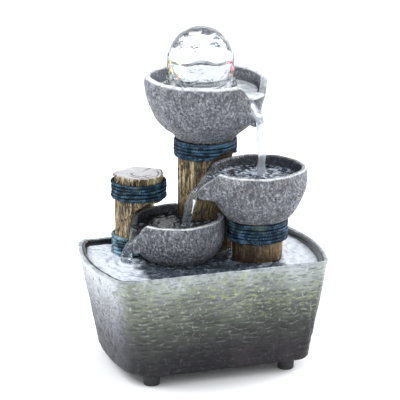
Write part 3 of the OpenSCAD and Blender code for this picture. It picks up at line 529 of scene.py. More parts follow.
def build_basin():
    zs = np.concatenate([[8.0, 8.6, 9.4, 10.5], np.linspace(10.5, 86.4, 100)[1:], [86.9]])
    ins = np.concatenate([[2.5, 1.4, 0.6, 0.0], np.zeros(99), [0.12]])
    tail = [(87.15, 0.3), (87.4, 0.7), (87.45, 1.15), (87.45, 1.65), (87.4, 2.15), (87.1, 2.65), (86.5, 2.95), (85.0, WALL), (80, WALL), (60, WALL), (13.0, WALL)]
    rows = [(z, i) for z, i in zip(zs, ins)] + tail
    rings = [ring_xy(min(z, RIM_Z), i) for z, i in rows]
    n = len(rings[0])
    v = np.array([[(p[0], p[1], rows[k][0]) for p in r] for k, r in enumerate(rings)]).reshape(-1, 3)
    faces = grid_faces(len(rows), n)
    nrm = normals_of(v, faces)
    nout = len(zs); row_i = np.repeat(np.arange(len(rows)), n)
    col = np.tile(np.arange(n), len(rows))
    half = n // 2; c = col % half
    # 0 on the long sides, 1 on the ends, soft over the corners
    e = np.where(c < 30, c / 30, np.where(c < 150, 1.0, np.where(c < 180, 1 - (c - 150) / 30, 0.0)))
    endw = smooth(0.25, 1.0, e)
    # the arc over the front left corner (and, turned round, over the rear right one)
    corner = smooth(0, 1, 1 - np.abs(c - 170) / 17.0)
    u = np.where(np.abs(v[:, 1]) > 40, v[:, 0], v[:, 0] * 0.4 + v[:, 1]) + 400 + np.where(v[:, 1] > 0, 137, 0)
    d1, r1 = strokes(u, v[:, 2] - 8, 11)
    big = fbm(v / 17.0, 2, 3); mid = fbm(v / 5.0, 3, 9); fine = fbm(v / 1.7, 2, 21)
    wd, wv = worley(v / 3.0, 31); wd2, wv2 = worley(v / 6.5, 57)
    pit = smooth(0.42, 0.10, wd) * smooth(0.25, 0.6, wv); pit2 = smooth(0.46, 0.16, wd2) * smooth(0.45, 0.8, wv2)
    d_long = d1 + 0.28 * mid + 0.16 * fine + 0.45 * big - 0.22 * pit
    d_end = 0.62 * big + 0.42 * mid + 0.20 * fine - 0.62 * pit - 0.75 * pit2
    fade = smooth(8, 12.5, v[:, 2]) * smooth(87.5, 84.6, v[:, 2])
    disp = (d_long * (1 - endw) + d_end * endw) * fade
    # soft upright creases: two by the front left corner, one low on the front right
    front = v[:, 1] < -30
    for x0, w, dep, ztop in ((-72, 1.3, 0.9, 80), (-66.0, 1.2, 0.8, 72), (-59.0, 1.5, 0.55, 50), (46.8, 1.5, 1.0, 42), (74.5, 1.5, 0.8, 60)):
        xx = x0 * (0.92 + 0.08 * (v[:, 2] - 8) / 79) + 1.3 * np.sin(v[:, 2] / 9.0 + x0)
        disp -= np.where(front, dep * np.exp(-((v[:, 0] - xx) / w) ** 2) * smooth(ztop + 10, ztop - 12, v[:, 2]), 0) * fade
    rim = smooth(82.5, 86.5, v[:, 2]) * (row_i < nout + 6)
    disp += rim * (0.30 * fbm(v * [1 / 4.0, 1 / 4.0, 0.05], 2, 71) - 0.05)
    outer = row_i < nout + 2
    v = v + nrm * (disp * outer)[:, None]
    top = (row_i >= nout - 4) & (row_i <= nout + 7)
    v[:, 2] += np.where(top, rim_wave(v[:, 0], v[:, 1], v[:, 2]), 0)
    relief = (r1 * (1 - endw) + endw * (-0.9 * pit - 0.9 * pit2 + 0.5 * mid)) * fade * outer + (1 - endw) * 0.45 * mid * outer
    rim_tone_and_highlight = np.where((row_i >= nout - 2), 1.0, smooth(84.8, 86.8, v[:, 2]) * 0.8)
    # close the bottom and the inner floor
    b0 = len(v); v = np.vstack([v, [[0, 0, 8.0]], [[0, 0, 13.0]]])
    j = np.arange(n); jn = (j + 1) % n
    cap = np.stack([np.full(n, b0), jn, j], 1); last = (len(rows) - 1) * n
    cap2 = np.stack([np.full(n, b0 + 1), last + j, last + jn], 1)
    pad = lambda a: np.concatenate([a, [0, 0]])
    o = mesh_piece("basin_shell", v, [faces, np.vstack([cap, cap2])], M["basin"],
                   {"relief": pad(relief), "endw": pad(endw), "rim_tone_and_highlight": pad(rim_tone_and_highlight), "corner": pad(corner)})
    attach(o, "basin"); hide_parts("basin")
    return o

# ------------------------------------------------------------------ bowls
PROF = {
 "top": ([(0, 170), (22.5, 170), (26.6, 174.4), (31.5, 178), (35.8, 181.8), (39.2, 186.5), (41.8, 192.6), (44.2, 198), (45.8, 203.5), (46.8, 209), (47, 213), (46.6, 216.4), (45.2, 218.2)],
         [(43.2, 218.5), (41.9, 217), (41.8, 213), (41.2, 207), (39.5, 200), (36, 193), (30, 187), (24.8, 182.5), (22.7, 178.5), (0, 178.5)]),
 "mid": ([(0, 114), (22.5, 114), (24.8, 115.4), (29.8, 121.9), (32.5, 127), (34.4, 131.5), (36.4, 136), (37.5, 141), (37.9, 146), (37.6, 150.5), (36.8, 153.2)],
         [(35.2, 154.5), (33.6, 154.1), (32.9, 152.5), (32.8, 148), (31.8, 141), (29, 134), (24, 128), (16, 124), (0, 122.5)]),
 "low": ([(0, 77.4), (16, 77.4), (22, 80.2), (26.7, 83.9), (30.5, 87.5), (33, 91.5), (35, 96.5), (35.9, 102), (35.8, 108), (35.4, 112), (34.6, 114.6)],
         [(33, 115.5), (31.4, 115.2), (30.6, 113.5), (30.4, 110), (29.4, 103), (26.5, 95.5), (20.5, 89.5), (12, 86.5), (0, 86)])}
# centre, direction, r, half angle, rim, drop, lip, tip radius, tip height, tip width
SPOUT = {"top": (TALL, -49, 45, 27, 216.5, 26, 206.5, 46.5, 188.5, 10), "mid": (MID, 170, 37, 31, 153.4, 22, 145.2, 46.5, 136.5, 11),
         "low": (LOW, 182, 35, 29, 114.6, 20, 107.8, 38.5, 94.5, 10)}
GRID = {}
for _k, (_o, _i) in PROF.items():
    _lo = (0.0, _o[0][1] - 8.0); _hi = (60.0, _i[0][1] + 14.0)
    GRID[_k] = (profile_sdf(_o + [_i[0], (0, _i[0][1])], _lo, _hi, 0.4), profile_sdf([_i[-1]] + _i[-2::-1] + [(_i[0][0], _i[0][1] + 30), (0, _i[0][1] + 30)], _lo, _hi, 0.4))

def spout_local(key, x, y):
    c, dr = SPOUT[key][0], math.radians(SPOUT[key][1])
    dx, dy = x - c[0], y - c[1]
    return dx * math.cos(dr) + dy * math.sin(dr), -dx * math.sin(dr) + dy * math.cos(dr)

def outer_sdf(key, x, y, z):
    """The bowl's outside with its spout, filled in."""
    c, dr, r, half, rim, drop, lip, tr, tz, tw = SPOUT[key]; h = math.radians(half)
    d = sample(GRID[key][0], np.hypot(x - c[0], y - c[1]), z)
    lx, ly = spout_local(key, x, y)
    x0 = r * math.cos(h) - 3; t = np.clip((lx - x0) / (tr - x0), 0, 1.15)
    w = (r * math.sin(h) + 0.4) * (1 - t) + (tw / 2) * t
    zt = rim * (1 - t) + (tz + 2) * t; zt = zt + (2.2 if key != "top" else -4.2 * smooth(3, -3, ly)) * np.sin(np.clip(t, 0, 1) * math.pi)
    zb = (rim - drop) * (1 - t) + (tz - 5) * t
    dc = smax(smax((np.abs(ly) - w) * 0.85, (z - zt) * 0.75, 1.6), smax((zb - z) * 0.85, smax(lx - tr, x0 - 6 - lx, 1.0), 1.6), 1.6)
    return smin(d, dc, 2.2)

def channel_sdf(key, x, y, z):
    c, dr, r, half, rim, drop, lip, tr, tz, tw = SPOUT[key]; h = math.radians(half)
    lx, ly = spout_local(key, x, y)
    xs = r * math.cos(h) - 16; t = np.clip((lx - xs) / (tr + 1 - xs), 0, 1.3)
    zf = lip * (1 - t) + tz * t - 1.5 * np.sin(np.clip(t, 0, 1) * math.pi) * 0
    wf = 6.5 * (1 - t) + (tw / 2 - 2.4) * t; wr = r * math.sin(h) - 2.4
    q = np.clip((z - zf) / np.maximum(rim + 0.5 - zf, 1), 0, 1.5)
    w = wf + (wr - wf) * q ** 1.3
    return smax(smax((np.abs(ly) - w) * 0.8, (zf - z) * 0.85, 1.8), xs - lx, 1.0)

def bowl_field(key, x, y, z):
    c, dr = SPOUT[key][:2]
    d = outer_sdf(key, x, y, z)
    di = sample(GRID[key][1], np.hypot(x - c[0], y - c[1]), z)
    d = smax(d, -di, 0.9)
    d = smax(d, -channel_sdf(key, x, y, z), 1.0)
    return d

BOWL = {"top": (0.80, 207.6, 170.0), "mid": (0.72, 146.6, 114.0), "low": (0.70, 109.2, 77.4)}

def build_bowl(key, mat):
    h, pool, z0 = BOWL[key]
    c, dr, r, half, rim, drop, lip, tr, tz, tw = SPOUT[key]
    R = max(max(p[0] for p in PROF[key][0]), tr) + 4; ztop = PROF[key][1][0][1] + 2.5
    xs = np.arange(c[0] - R, c[0] + R + h, h); ys = np.arange(c[1] - R, c[1] + R + h, h); zs = np.arange(z0 - 2.5, ztop + h, h)
    X, Y, Z = np.meshgrid(xs, ys, zs, indexing="ij"); sh = X.shape
    x, y, z = X.ravel(), Y.ravel(), Z.ravel()
    d = bowl_field(key, x, y, z)
    # an uneven, hand-made rim
    up = smooth(z0 + 25, PROF[key][1][0][1], z)
    a = np.arctan2(y - c[1], x - c[0])
    wob = 0.55 * np.sin(3 * a + 1.3) + 0.4 * np.sin(7 * a + 0.4) + 0.3 * np.sin(11 * a + 2.0)
    near = np.cos(a - math.radians(dr))
    zw = z + up * (0.45 * wob + (0.7 * near if key == "top" else 0.35 * near))
    d = bowl_field(key, x, y, zw)
    if key == "top":
        jx, jy = x - JET[0], y - JET[1]
        d = np.maximum(d, -np.maximum(np.hypot(jx, jy) - 4.5, np.abs(z - 178) - 14))
        d = np.maximum(d, -np.maximum(np.hypot(jx - 9.2, jy) - 1.8, np.abs(z - 178) - 14))
    if key == "low":
        d = np.maximum(d, -(np.hypot(x - TALL[0], y - TALL[1]) - 22.05))
    d = np.maximum(d, z0 + 0.02 - z)
    v, q = surface_nets(d.reshape(sh), (xs[0], ys[0], zs[0]), h)
    n = normals_of(v, q)
    s = {"top": 100, "mid": 200, "low": 300}[key]
    rr = np.hypot(v[:, 0] - c[0], v[:, 1] - c[1])
    di = sample(GRID[key][1], rr, v[:, 2]); ch = channel_sdf(key, v[:, 0], v[:, 1], v[:, 2])
    inside = smooth(1.6, 0.5, np.minimum(np.abs(di), np.abs(ch)) + 3 * (np.minimum(di, ch) > 1.2))
    # painted highlight along the rim top and on the upward faces of the spout's edges
    rim_tone_and_highlight = smooth(PROF[key][1][0][1] - 4.4, PROF[key][1][0][1] - 1.6, v[:, 2]) * smooth(0.30, 0.72, n[:, 2])
    lx, ly = spout_local(key, v[:, 0], v[:, 1])
    edge = smooth(2.4, 0.5, np.abs(ch)) * smooth(0.1, 0.6, n[:, 2]) * smooth(tr * 0.72, tr * 0.86, lx)
    rim_tone_and_highlight = np.maximum(rim_tone_and_highlight, edge * 0.9)
    st = v / np.array([1.0, 1.0, 1.35])
    st = st + 0.5 * np.stack([0 * st[:, 0], 0 * st[:, 0], st[:, 0]], 1)
    w1, x1 = worley(st / 1.75, s); w2, x2 = worley(st / 4.2, s + 9)
    p1 = smooth(0.44, 0.16, w1) * smooth(0.30, 0.62, x1); p2 = 0.75 * smooth(0.42, 0.20, w2) * smooth(0.66, 0.9, x2)
    fb = fbm(v / 6.0, 2, s + 4); ff = fbm(v / 1.6, 2, s + 6)
    calm = 1 - 0.65 * inside; base_fade = smooth(z0 + 0.2, z0 + 3, v[:, 2])
    disp = (0.38 * fb + 0.24 * ff - 0.62 * p1 - 0.40 * p2) * calm * base_fade
    v = v + n * disp[:, None]
    if key == "low":
        dd = np.hypot(v[:, 0] - TALL[0], v[:, 1] - TALL[1]); m = dd < 21.95
        k = np.where(m, 21.95 / np.maximum(dd, 1), 1)
        v[:, 0] = TALL[0] + (v[:, 0] - TALL[0]) * k; v[:, 1] = TALL[1] + (v[:, 1] - TALL[1]) * k
    v[:, 2] = np.maximum(v[:, 2], z0 + 0.02)
    # the inside of the bowl near and above the pool, darkened up to the rim: partly wet stone, partly painted shade
    wet_and_inner_shade = inside * smooth(pool + (9 if key == "top" else 13), pool + (1.5 if key == "top" else 5), v[:, 2] + 2.5 * fbm(v / 5.0, 2, s + 8)) * (0.55 if key == "top" else 1.0)
    wet_and_inner_shade = np.maximum(wet_and_inner_shade, edge * 0.3)
    # water that runs down under the spout leaves a dark streak
    run = smooth(6.0, 3.0, np.abs(ly)) * smooth(tr - 14, tr - 5, lx) * smooth(tz + 4, tz - 3, v[:, 2])
    wet_and_inner_shade = np.clip(np.maximum(wet_and_inner_shade, 0.8 * run), 0, 1)
    o = mesh_piece("bowl_%s_stone" % key, v, q, mat, {"relief": np.clip(0.7 * fb + 0.5 * ff - 0.9 * p1 - 0.55 * p2, -1, 1) * calm, "wet_and_inner_shade": wet_and_inner_shade, "rim_tone_and_highlight": rim_tone_and_highlight})
    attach(o, "sculpture"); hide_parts("bowl_%s" % key)
    return o

def push_in(v, centre, keys, gap=0.3, lim=18.0):
    """Moves points that lie in a bowl's room straight towards the post's axis until they clear it."""
    v = v.copy(); dx = v[:, 0] - centre[0]; dy = v[:, 1] - centre[1]
    r = np.maximum(np.hypot(dx, dy), 1e-6); ux, uy = dx / r, dy / r; cut = np.zeros(len(v))
    for key in keys:
        top = PROF[key][1][0][1] + 0.4
        for _ in range(60):
            x = v[:, 0] - ux * cut; y = v[:, 1] - uy * cut
            over = np.maximum(v[:, 2] - top, 0); z = np.where(over > 0, top - 13.0, np.minimum(v[:, 2], top - 1.2))
            bad = (outer_sdf(key, x, y, z) < gap - 1.5 * over) & (v[:, 2] < top + 8) & (cut < np.minimum(lim, r - 0.6))
            if not bad.any(): break
            cut = cut + np.where(bad, 0.35, 0)
    v[:, 0] -= ux * cut; v[:, 1] -= uy * cut
    return v, cut

# ------------------------------------------------------------------ posts
def build_post(name, node, centre, r0, r1, z0, z1, mat, keys=(), hole=None, rings=False, nth=300, dz=0.8, seed=5, depth=0.95, soak=0.0):
    th = np.linspace(0, 2 * np.pi, nth, endpoint=False)
    zs = np.linspace(z0, z1 - 0.9, int((z1 - z0) / dz))
    rows = [(z, 0.0) for z in zs] + [(z1 - 0.35, 0.25), (z1, 0.9)]
    rr = lambda z: r0 + (r1 - r0) * (z - z0) / (z1 - z0)
    V = []
    for z, ins in rows:
        R = rr(z) - ins
        V.append(np.stack([R * np.cos(th), R * np.sin(th), np.full(nth, z)], 1))
    v = np.concatenate(V); nr = len(rows)
    t = np.tile(th, nr); z = v[:, 2]
    # long wavering grain with knots
    wav = 1.5 * fbm(np.stack([np.cos(t) * 1.5, np.sin(t) * 1.5, z / 16], 1), 2, seed)
    c = np.stack([np.cos(t) * 10.5 + 1.3 * wav, np.sin(t) * 10.5 + 1.3 * wav, z / 21.0 + 0.6 * wav], 1)
    g = perlin(c, seed + 2); g2 = perlin(c * [2.1, 2.1, 1.7], seed + 3); g3 = perlin(c * [4.3, 4.3, 2.6], seed + 4)
    groove = smooth(0.20, 0.0, np.abs(g)) + 0.65 * smooth(0.15, 0.0, np.abs(g2)) + 0.25 * smooth(0.14, 0.0, np.abs(g3))
    groove = np.clip(groove, 0, 1.35)
    disp = -depth * groove * 0.85 + 0.12 * g3 - 0.05 - 0.35 * smooth(0.1, 0.6, -fbm(v / 9.0, 2, seed + 8))
    disp = np.minimum(disp, 0.0)
    fade = 1.0
    f = 1 + disp * fade / np.hypot(v[:, 0], v[:, 1])
    v[:, 0] *= f; v[:, 1] *= f
    if rings:   # the sawn top stands over its sides a little and wavers
        lipz = smooth(z1 - 3.2, z1 - 1.4, z)
        k = 1 + lipz * (0.75 + 0.55 * np.sin(5 * t)) / np.maximum(np.hypot(v[:, 0], v[:, 1]), 1)
        v[:, 0] *= k; v[:, 1] *= k
        v[:, 2] += np.where(z > z1 - 2.0, 0.40 * np.sin(2 * t + 0.6) + 0.35 * np.sin(5 * t + 1) + 0.2 * np.sin(9 * t) - 0.4, 0)
    relief = np.clip(-groove * 0.95 + 0.6 * g3 + 0.35 * (1 - groove), -1, 1)
    topw = np.zeros(len(v)); ring = np.zeros(len(v))
    v[:, 0] += centre[0]; v[:, 1] += centre[1]
    faces = [grid_faces(nr, nth)]
    if hole is None:
        m = 26; cap = []; base = len(v)
        last = v[(nr - 1) * nth:nr * nth]
        for i in range(1, m):
            s = 1 - i / m
            p = last.copy(); p[:, :2] = np.array(centre) + (last[:, :2] - np.array(centre)) * s
            if rings:
                off = np.hypot(p[:, 0] - centre[0] - 2.5, p[:, 1] - centre[1] + 1.5)
                w = off / 2.05 + 0.35 * np.sin(3 * th + 0.5) + 0.9 * fbm(p / 8.0, 2, seed + 30)
                rg = 0.72 + 0.28 * np.sin(w * 2 * np.pi)
                arc = np.exp(-((off - 8.2 - 0.9 * np.sin(2 * th)) / 0.75) ** 2) * smooth(-0.2, 0.5, np.cos(th + 2.2)) + 0.8 * np.exp(-((off - 12.6) / 0.8) ** 2) * smooth(0.0, 0.6, np.cos(th + 1.2))
                rg = rg * (1 - np.clip(arc, 0, 1))
                crack = smooth(0.10, 0.0, np.abs(np.sin(1.5 * (th - 0.7)))) * smooth(2, 9, off)
                p[:, 2] = last[:, 2] * s + (z1 - 0.75) * (1 - s) + 0.45 * (rg - 0.5) - 0.4 * crack
                cap.append((p, rg * (1 - 0.8 * crack), np.ones(nth)))
            else:
                p[:, 2] = z1; cap.append((p, np.zeros(nth), np.zeros(nth)))
        v = np.vstack([v] + [c[0] for c in cap] + [[[centre[0], centre[1], z1 - (0.75 if rings else 0)]]])
        ring = np.concatenate([ring] + [c[1] for c in cap] + [[0.2]]); topw = np.concatenate([topw] + [c[2] for c in cap] + [[1.0 if rings else 0]])
        faces.append(grid_faces(m, nth, base=(nr - 1) * nth))
        lastb = (nr + m - 2) * nth; j = np.arange(nth); apex = len(v) - 1
        tri = [np.stack([lastb + j, lastb + (j + 1) % nth, np.full(nth, apex)], 1)]
        v = np.vstack([v, [[centre[0], centre[1], z0]]]); ring = np.append(ring, 0); topw = np.append(topw, 0)
        tri.append(np.stack([(j + 1) % nth, j, np.full(nth, len(v) - 1)], 1)); faces.append(np.vstack(tri))
    else:       # the feed channel runs up inside, wider at its top
        hx, steps = hole
        for zz, R in steps:
            v = np.vstack([v, np.stack([hx[0] + R * np.cos(th), hx[1] + R * np.sin(th), np.full(nth, zz)], 1)])
        k = len(steps); faces.append(grid_faces(k + 1, nth, base=(nr - 1) * nth))
        j = np.arange(nth); jn = (j + 1) % nth; last = (nr + k - 1) * nth
        faces.append(np.stack([last + j, last + jn, jn, j], 1))
        ring = np.concatenate([ring, np.zeros(k * nth)]); topw = np.concatenate([topw, np.zeros(k * nth)])
    body = nr * nth
    shade = np.zeros(len(v)); relief = np.concatenate([relief, np.zeros(len(v) - body)])
    if keys:
        pv, cut = push_in(v[:body], centre, keys)
        v[:body] = pv; shade[:body] = smooth(0.3, 3.0, cut) * 0.8
    if hole is None and keys:
        pv, cut = push_in(v[body:-2], centre, keys); v[body:-2] = pv
    # wet and dark just above the basin's water
    shade[:body] = np.maximum(shade[:body], 0.75 * smooth(WATER_Z + 9, WATER_Z + 1, v[:body, 2] + 4 * fbm(v[:body] / 4.0, 2, seed + 50)))
    if soak: shade[:body] = np.maximum(shade[:body], 0.62 * smooth(soak + 2, soak - 7, v[:body, 2] + 3 * fbm(v[:body] / 5.0, 2, seed + 60)))
    topw[:body] = np.maximum(topw[:body], (0.35 * smooth(z1 - 0.9, z1 - 0.3, z[:body]) if rings else 0))
    ring[:body] = np.where(topw[:body] > 0, 0.75, 0)
    o = mesh_piece(name, v, faces, mat, {"relief": relief, "topw": topw, "ring": ring, "shade": shade})
    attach(o, "sculpture"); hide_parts(node)
    return o

# ------------------------------------------------------------------ cord
def tube(points, radius, nseg=12, twist=0.0, plies=3, groove=0.17, closed_ends=True):
    """A laid cord swept along points. Returns vertices, face arrays, and a value used as painted shade: the depth
    between its strands, and the cord's top and bottom where the neighbouring turns lie.
    """
    p = np.asarray(points, float); n = len(p)
    t = np.gradient(p, axis=0); t /= np.linalg.norm(t, axis=1, keepdims=True)
    ref = np.tile([0, 0, 1.0], (n, 1)); ref[np.abs(t[:, 2]) > 0.85] = [1.0, 0, 0]
    u = np.cross(ref, t); u /= np.linalg.norm(u, axis=1, keepdims=True); w = np.cross(t, u)
    s = np.concatenate([[0], np.cumsum(np.linalg.norm(np.diff(p, axis=0), axis=1))])
    ph = np.linspace(0, 2 * np.pi, nseg, endpoint=False)
    A = ph[None, :] - twist * s[:, None]
    lobe = np.abs(np.cos(plies * A / 2)) ** 0.7
    R = np.broadcast_to(np.asarray(radius), (n,))[:, None] * (1 - groove + groove * lobe)
    v = (p[:, None, :] + R[..., None] * (np.cos(ph)[None, :, None] * u[:, None, :] + np.sin(ph)[None, :, None] * w[:, None, :])).reshape(-1, 3)
    f = grid_faces(n, nseg)
    v = np.vstack([v, p[0], p[-1]]); j = np.arange(nseg); jn = (j + 1) % nseg
    tri = np.vstack([np.stack([jn, j, np.full(nseg, n * nseg)], 1), np.stack([(n - 1) * nseg + j, (n - 1) * nseg + jn, np.full(nseg, n * nseg + 1)], 1)])
    # painted shade: dark in the grooves between the strands and over the top and bottom of the cord, where the next
    # turns lie
    rel = np.minimum((lobe - 1) * 1.1, -1.0 * smooth(0.35, 0.85, np.abs(np.sin(ph)))[None, :])
    rel = np.concatenate([rel.ravel(), [0, 0]])
    return v, [f, tri], rel

def build_rope(name, node, centre, R, z0, z1, keys=(), seed=1, pale=0.0, tails=()):
    d = 2.6; n = int((z1 - z0 - d) / (d * 0.96)) + 2
    m = 170; N = n * m
    a = np.linspace(0, 2 * np.pi * n, N) + seed
    tt = np.linspace(0, n, N); mid_ = smooth(0.0, 1.0, tt) * smooth(n, n - 1.0, tt)
    zc = z0 + d / 2 + 0.05 + (z1 - z0 - d - 0.1) * np.clip((tt - 0.9) / (n - 1.8), 0, 1)
    w = np.stack([np.cos(a) * 1.2, np.sin(a) * 1.2, a * 0.6], 1)
    rad = R + d / 2 + 0.25 + 0.75 * perlin(w * 1.7, seed + 5); zc = zc + 0.95 * perlin(w * 1.1, seed) * mid_
    # the turn is cast on tight; each turn's height is kept within the binding's top and bottom
    pts = np.stack([centre[0] + rad * np.cos(a), centre[1] + rad * np.sin(a), np.clip(zc, z0 + d / 2 - 0.1, z1 - d / 2 + 0.1)], 1)
    v, f, rel = tube(pts, d / 2 * (1 + 0.05 * perlin(w * 3.0, seed + 2)), 12, twist=1.15, plies=3, groove=0.20)
    parts = [(v, f, rel)]
    for tl in tails:
        pt = spline(tl, 60); parts.append(tube(pt, 1.15, 12, twist=1.15, plies=3, groove=0.2))
    V = []; quads = []; tris = []; REL = []; base = 0
    for v, f, rel in parts:
        V.append(v); quads.append(f[0] + base); tris.append(f[1] + base); REL.append(rel); base += len(v)
    v = np.vstack(V)
    if keys: v, _ = push_in(v, centre, keys, gap=0.35)
    r_ = np.concatenate(REL)
    ang = np.arctan2(v[:, 1] - centre[1], v[:, 0] - centre[0])
    o = mesh_piece(name, v, [np.vstack(quads), np.vstack(tris)], M["rope"], {"relief": r_, "pale": pale * smooth(0.0, 0.6, fbm(v / 7.0, 2, seed + 9) + 0.25)})
    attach(o, "sculpture"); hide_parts(node)
    return o

# ------------------------------------------------------------------ water
def water_slab(name, rim_pts, centre, z, depth, mat, body, sources=(), amp=0.25, rings=46, posts=(), seed=1, floor_r=1.0, rough=0.35, foam_and_painted_reflection=None):
    """A closed sheet of water: rippled on top, level below, drawn in from every post that stands in it."""
    n = len(rim_pts); c = np.array(centre, float)
    ts = np.linspace(1.0, 0.02, rings)
    P = np.concatenate([c + (rim_pts - c) * t for t in ts])
    for (px, py), R in posts:
        dx, dy = P[:, 0] - px, P[:, 1] - py; r = np.hypot(dx, dy); k = np.where(r < R, R / np.maximum(r, 1e-6), 1)
        P = np.stack([px + dx * k, py + dy * k], 1)
    q = np.stack([P[:, 0], P[:, 1], 0 * P[:, 0]], 1)
    h = rough * amp * (fbm(q / 7.0, 3, seed) * 1.6 + 0.7 * fbm(q / 2.6, 2, seed + 3))
    for sx, sy, A, lam, reach in sources:
        r = np.hypot(P[:, 0] - sx, P[:, 1] - sy)
        h += A * np.sin(2 * np.pi * r / lam + 0.5 * fbm(q / 5.0, 2, seed + 7)) * np.exp(-r / reach)
    edge = np.repeat(smooth(0.0, 0.05, 1 - ts), n)
    top = np.stack([P[:, 0], P[:, 1], z + h * (0.35 + 0.65 * edge) + 0.25 * (1 - edge)], 1)
    bot = np.stack([P[:, 0], P[:, 1], np.full(len(P), z - depth)], 1)
    N_ = len(top); v = np.vstack([top, bot, [[*P[-n:].mean(0), z], [*P[-n:].mean(0), z - depth]]])
    f = grid_faces(rings, n); fb = f[:, ::-1] + N_
    j = np.arange(n); jn = (j + 1) % n
    side = np.stack([j + N_, jn + N_, jn, j], 1); L = (rings - 1) * n
    tri = np.vstack([np.stack([L + j, L + jn, np.full(n, 2 * N_)], 1), np.stack([N_ + L + jn, N_ + L + j, np.full(n, 2 * N_ + 1)], 1)])
    o = mesh_piece(name, v, [np.vstack([f, fb, side]), tri], mat, {"foam_and_painted_reflection": np.zeros(len(v)) if foam_and_painted_reflection is None else foam_and_painted_reflection(v)})
    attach(o, body)
    return o

def water_stream(name, path, widths, thick, facing, mat, body, seed=3, n=150, nseg=22):
    """A ribbon of falling water with an uneven, rope-like section."""
    p = spline(path, n); n = len(p)
    t = np.gradient(p, axis=0); t /= np.linalg.norm(t, axis=1, keepdims=True)
    s = np.linspace(0, 1, n); f = np.asarray(facing, float)
    side = np.cross(np.tile([0, 0, 1.0], (n, 1)), np.tile([f[0], f[1], 0.0], (n, 1)))
    side /= np.linalg.norm(side, axis=1, keepdims=True)
    nor = np.cross(side, t); nor /= np.linalg.norm(nor, axis=1, keepdims=True)
    w = np.interp(s, np.linspace(0, 1, len(widths)), widths) / 2; th = np.interp(s, np.linspace(0, 1, len(thick)), thick) / 2
    ph = np.linspace(0, 2 * np.pi, nseg, endpoint=False)
    S, PH = np.meshgrid(s * 9, ph, indexing="ij")
    nz = fbm(np.stack([S.ravel(), np.cos(PH.ravel()) * 1.3 + seed, np.sin(PH.ravel()) * 1.3], 1), 3, seed).reshape(S.shape)
    nz2 = fbm(np.stack([S.ravel() * 0.6, PH.ravel() * 0, PH.ravel() * 0 + seed], 1), 2, seed + 2).reshape(S.shape)
    a = w[:, None] * (1 + 0.30 * nz + 0.35 * nz2); b = th[:, None] * (1 + 0.45 * nz)
    v = p[:, None, :] + (a * np.cos(ph))[..., None] * side[:, None, :] + (b * np.sin(ph))[..., None] * nor[:, None, :]
    v = np.vstack([v.reshape(-1, 3), p[0], p[-1]])
    j = np.arange(nseg); jn = (j + 1) % nseg
    tri = np.vstack([np.stack([jn, j, np.full(nseg, n * nseg)], 1), np.stack([(n - 1) * nseg + j, (n - 1) * nseg + jn, np.full(nseg, n * nseg + 1)], 1)])
    o = mesh_piece(name, v, [grid_faces(n, nseg), tri], mat)
    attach(o, body)
    return o

def lathe_piece(name, prof, centre, mat, nth=96, wob=None):
    """A closed ring or solid turned from an ordered loop of (r, z)."""
    p = np.asarray(prof, float); th = np.linspace(0, 2 * np.pi, nth, endpoint=False); m = len(p)
    v = np.stack([centre[0] + p[:, 0:1] * np.cos(th), centre[1] + p[:, 0:1] * np.sin(th), np.repeat(p[:, 1:2], nth, 1)], -1).reshape(-1, 3)
    if wob is not None: v = wob(v, np.tile(th, m), np.repeat(p[:, 0], nth))
    i = np.arange(m)[:, None] * nth; i2 = ((np.arange(m) + 1) % m)[:, None] * nth
    j = np.arange(nth)[None, :]; jn = (j + 1) % nth
    f = np.stack([i + j, i + jn, i2 + jn, i2 + j], -1).reshape(-1, 4)
    return mesh_piece(name, v, f, mat)

def build_ball(mat):
    nth, nla = 128, 72; th = np.linspace(0, 2 * np.pi, nth, endpoint=False); la = np.linspace(-np.pi / 2, np.pi / 2, nla + 2)[1:-1]
    v = np.stack([np.cos(la)[:, None] * np.cos(th), np.cos(la)[:, None] * np.sin(th), np.repeat(np.sin(la)[:, None], nth, 1)], -1).reshape(-1, 3) * BALL_R
    v = np.vstack([v, [[0, 0, -BALL_R], [0, 0, BALL_R]]])
    v *= (1 + (0.55 * fbm(v / 9.0, 2, 44) - 0.25) / BALL_R)[:, None]
    v = v + np.array([JET[0], JET[1], BALL_Z])
    j = np.arange(nth); jn = (j + 1) % nth; L = (nla - 1) * nth
    tri = np.vstack([np.stack([jn, j, np.full(nth, nla * nth)], 1), np.stack([L + j, L + jn, np.full(nth, nla * nth + 1)], 1)])
    o = mesh_piece("ball_clear", v, [grid_faces(nla, nth), tri], mat)
    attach(o, "ball"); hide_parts("glass_ball")
    return o

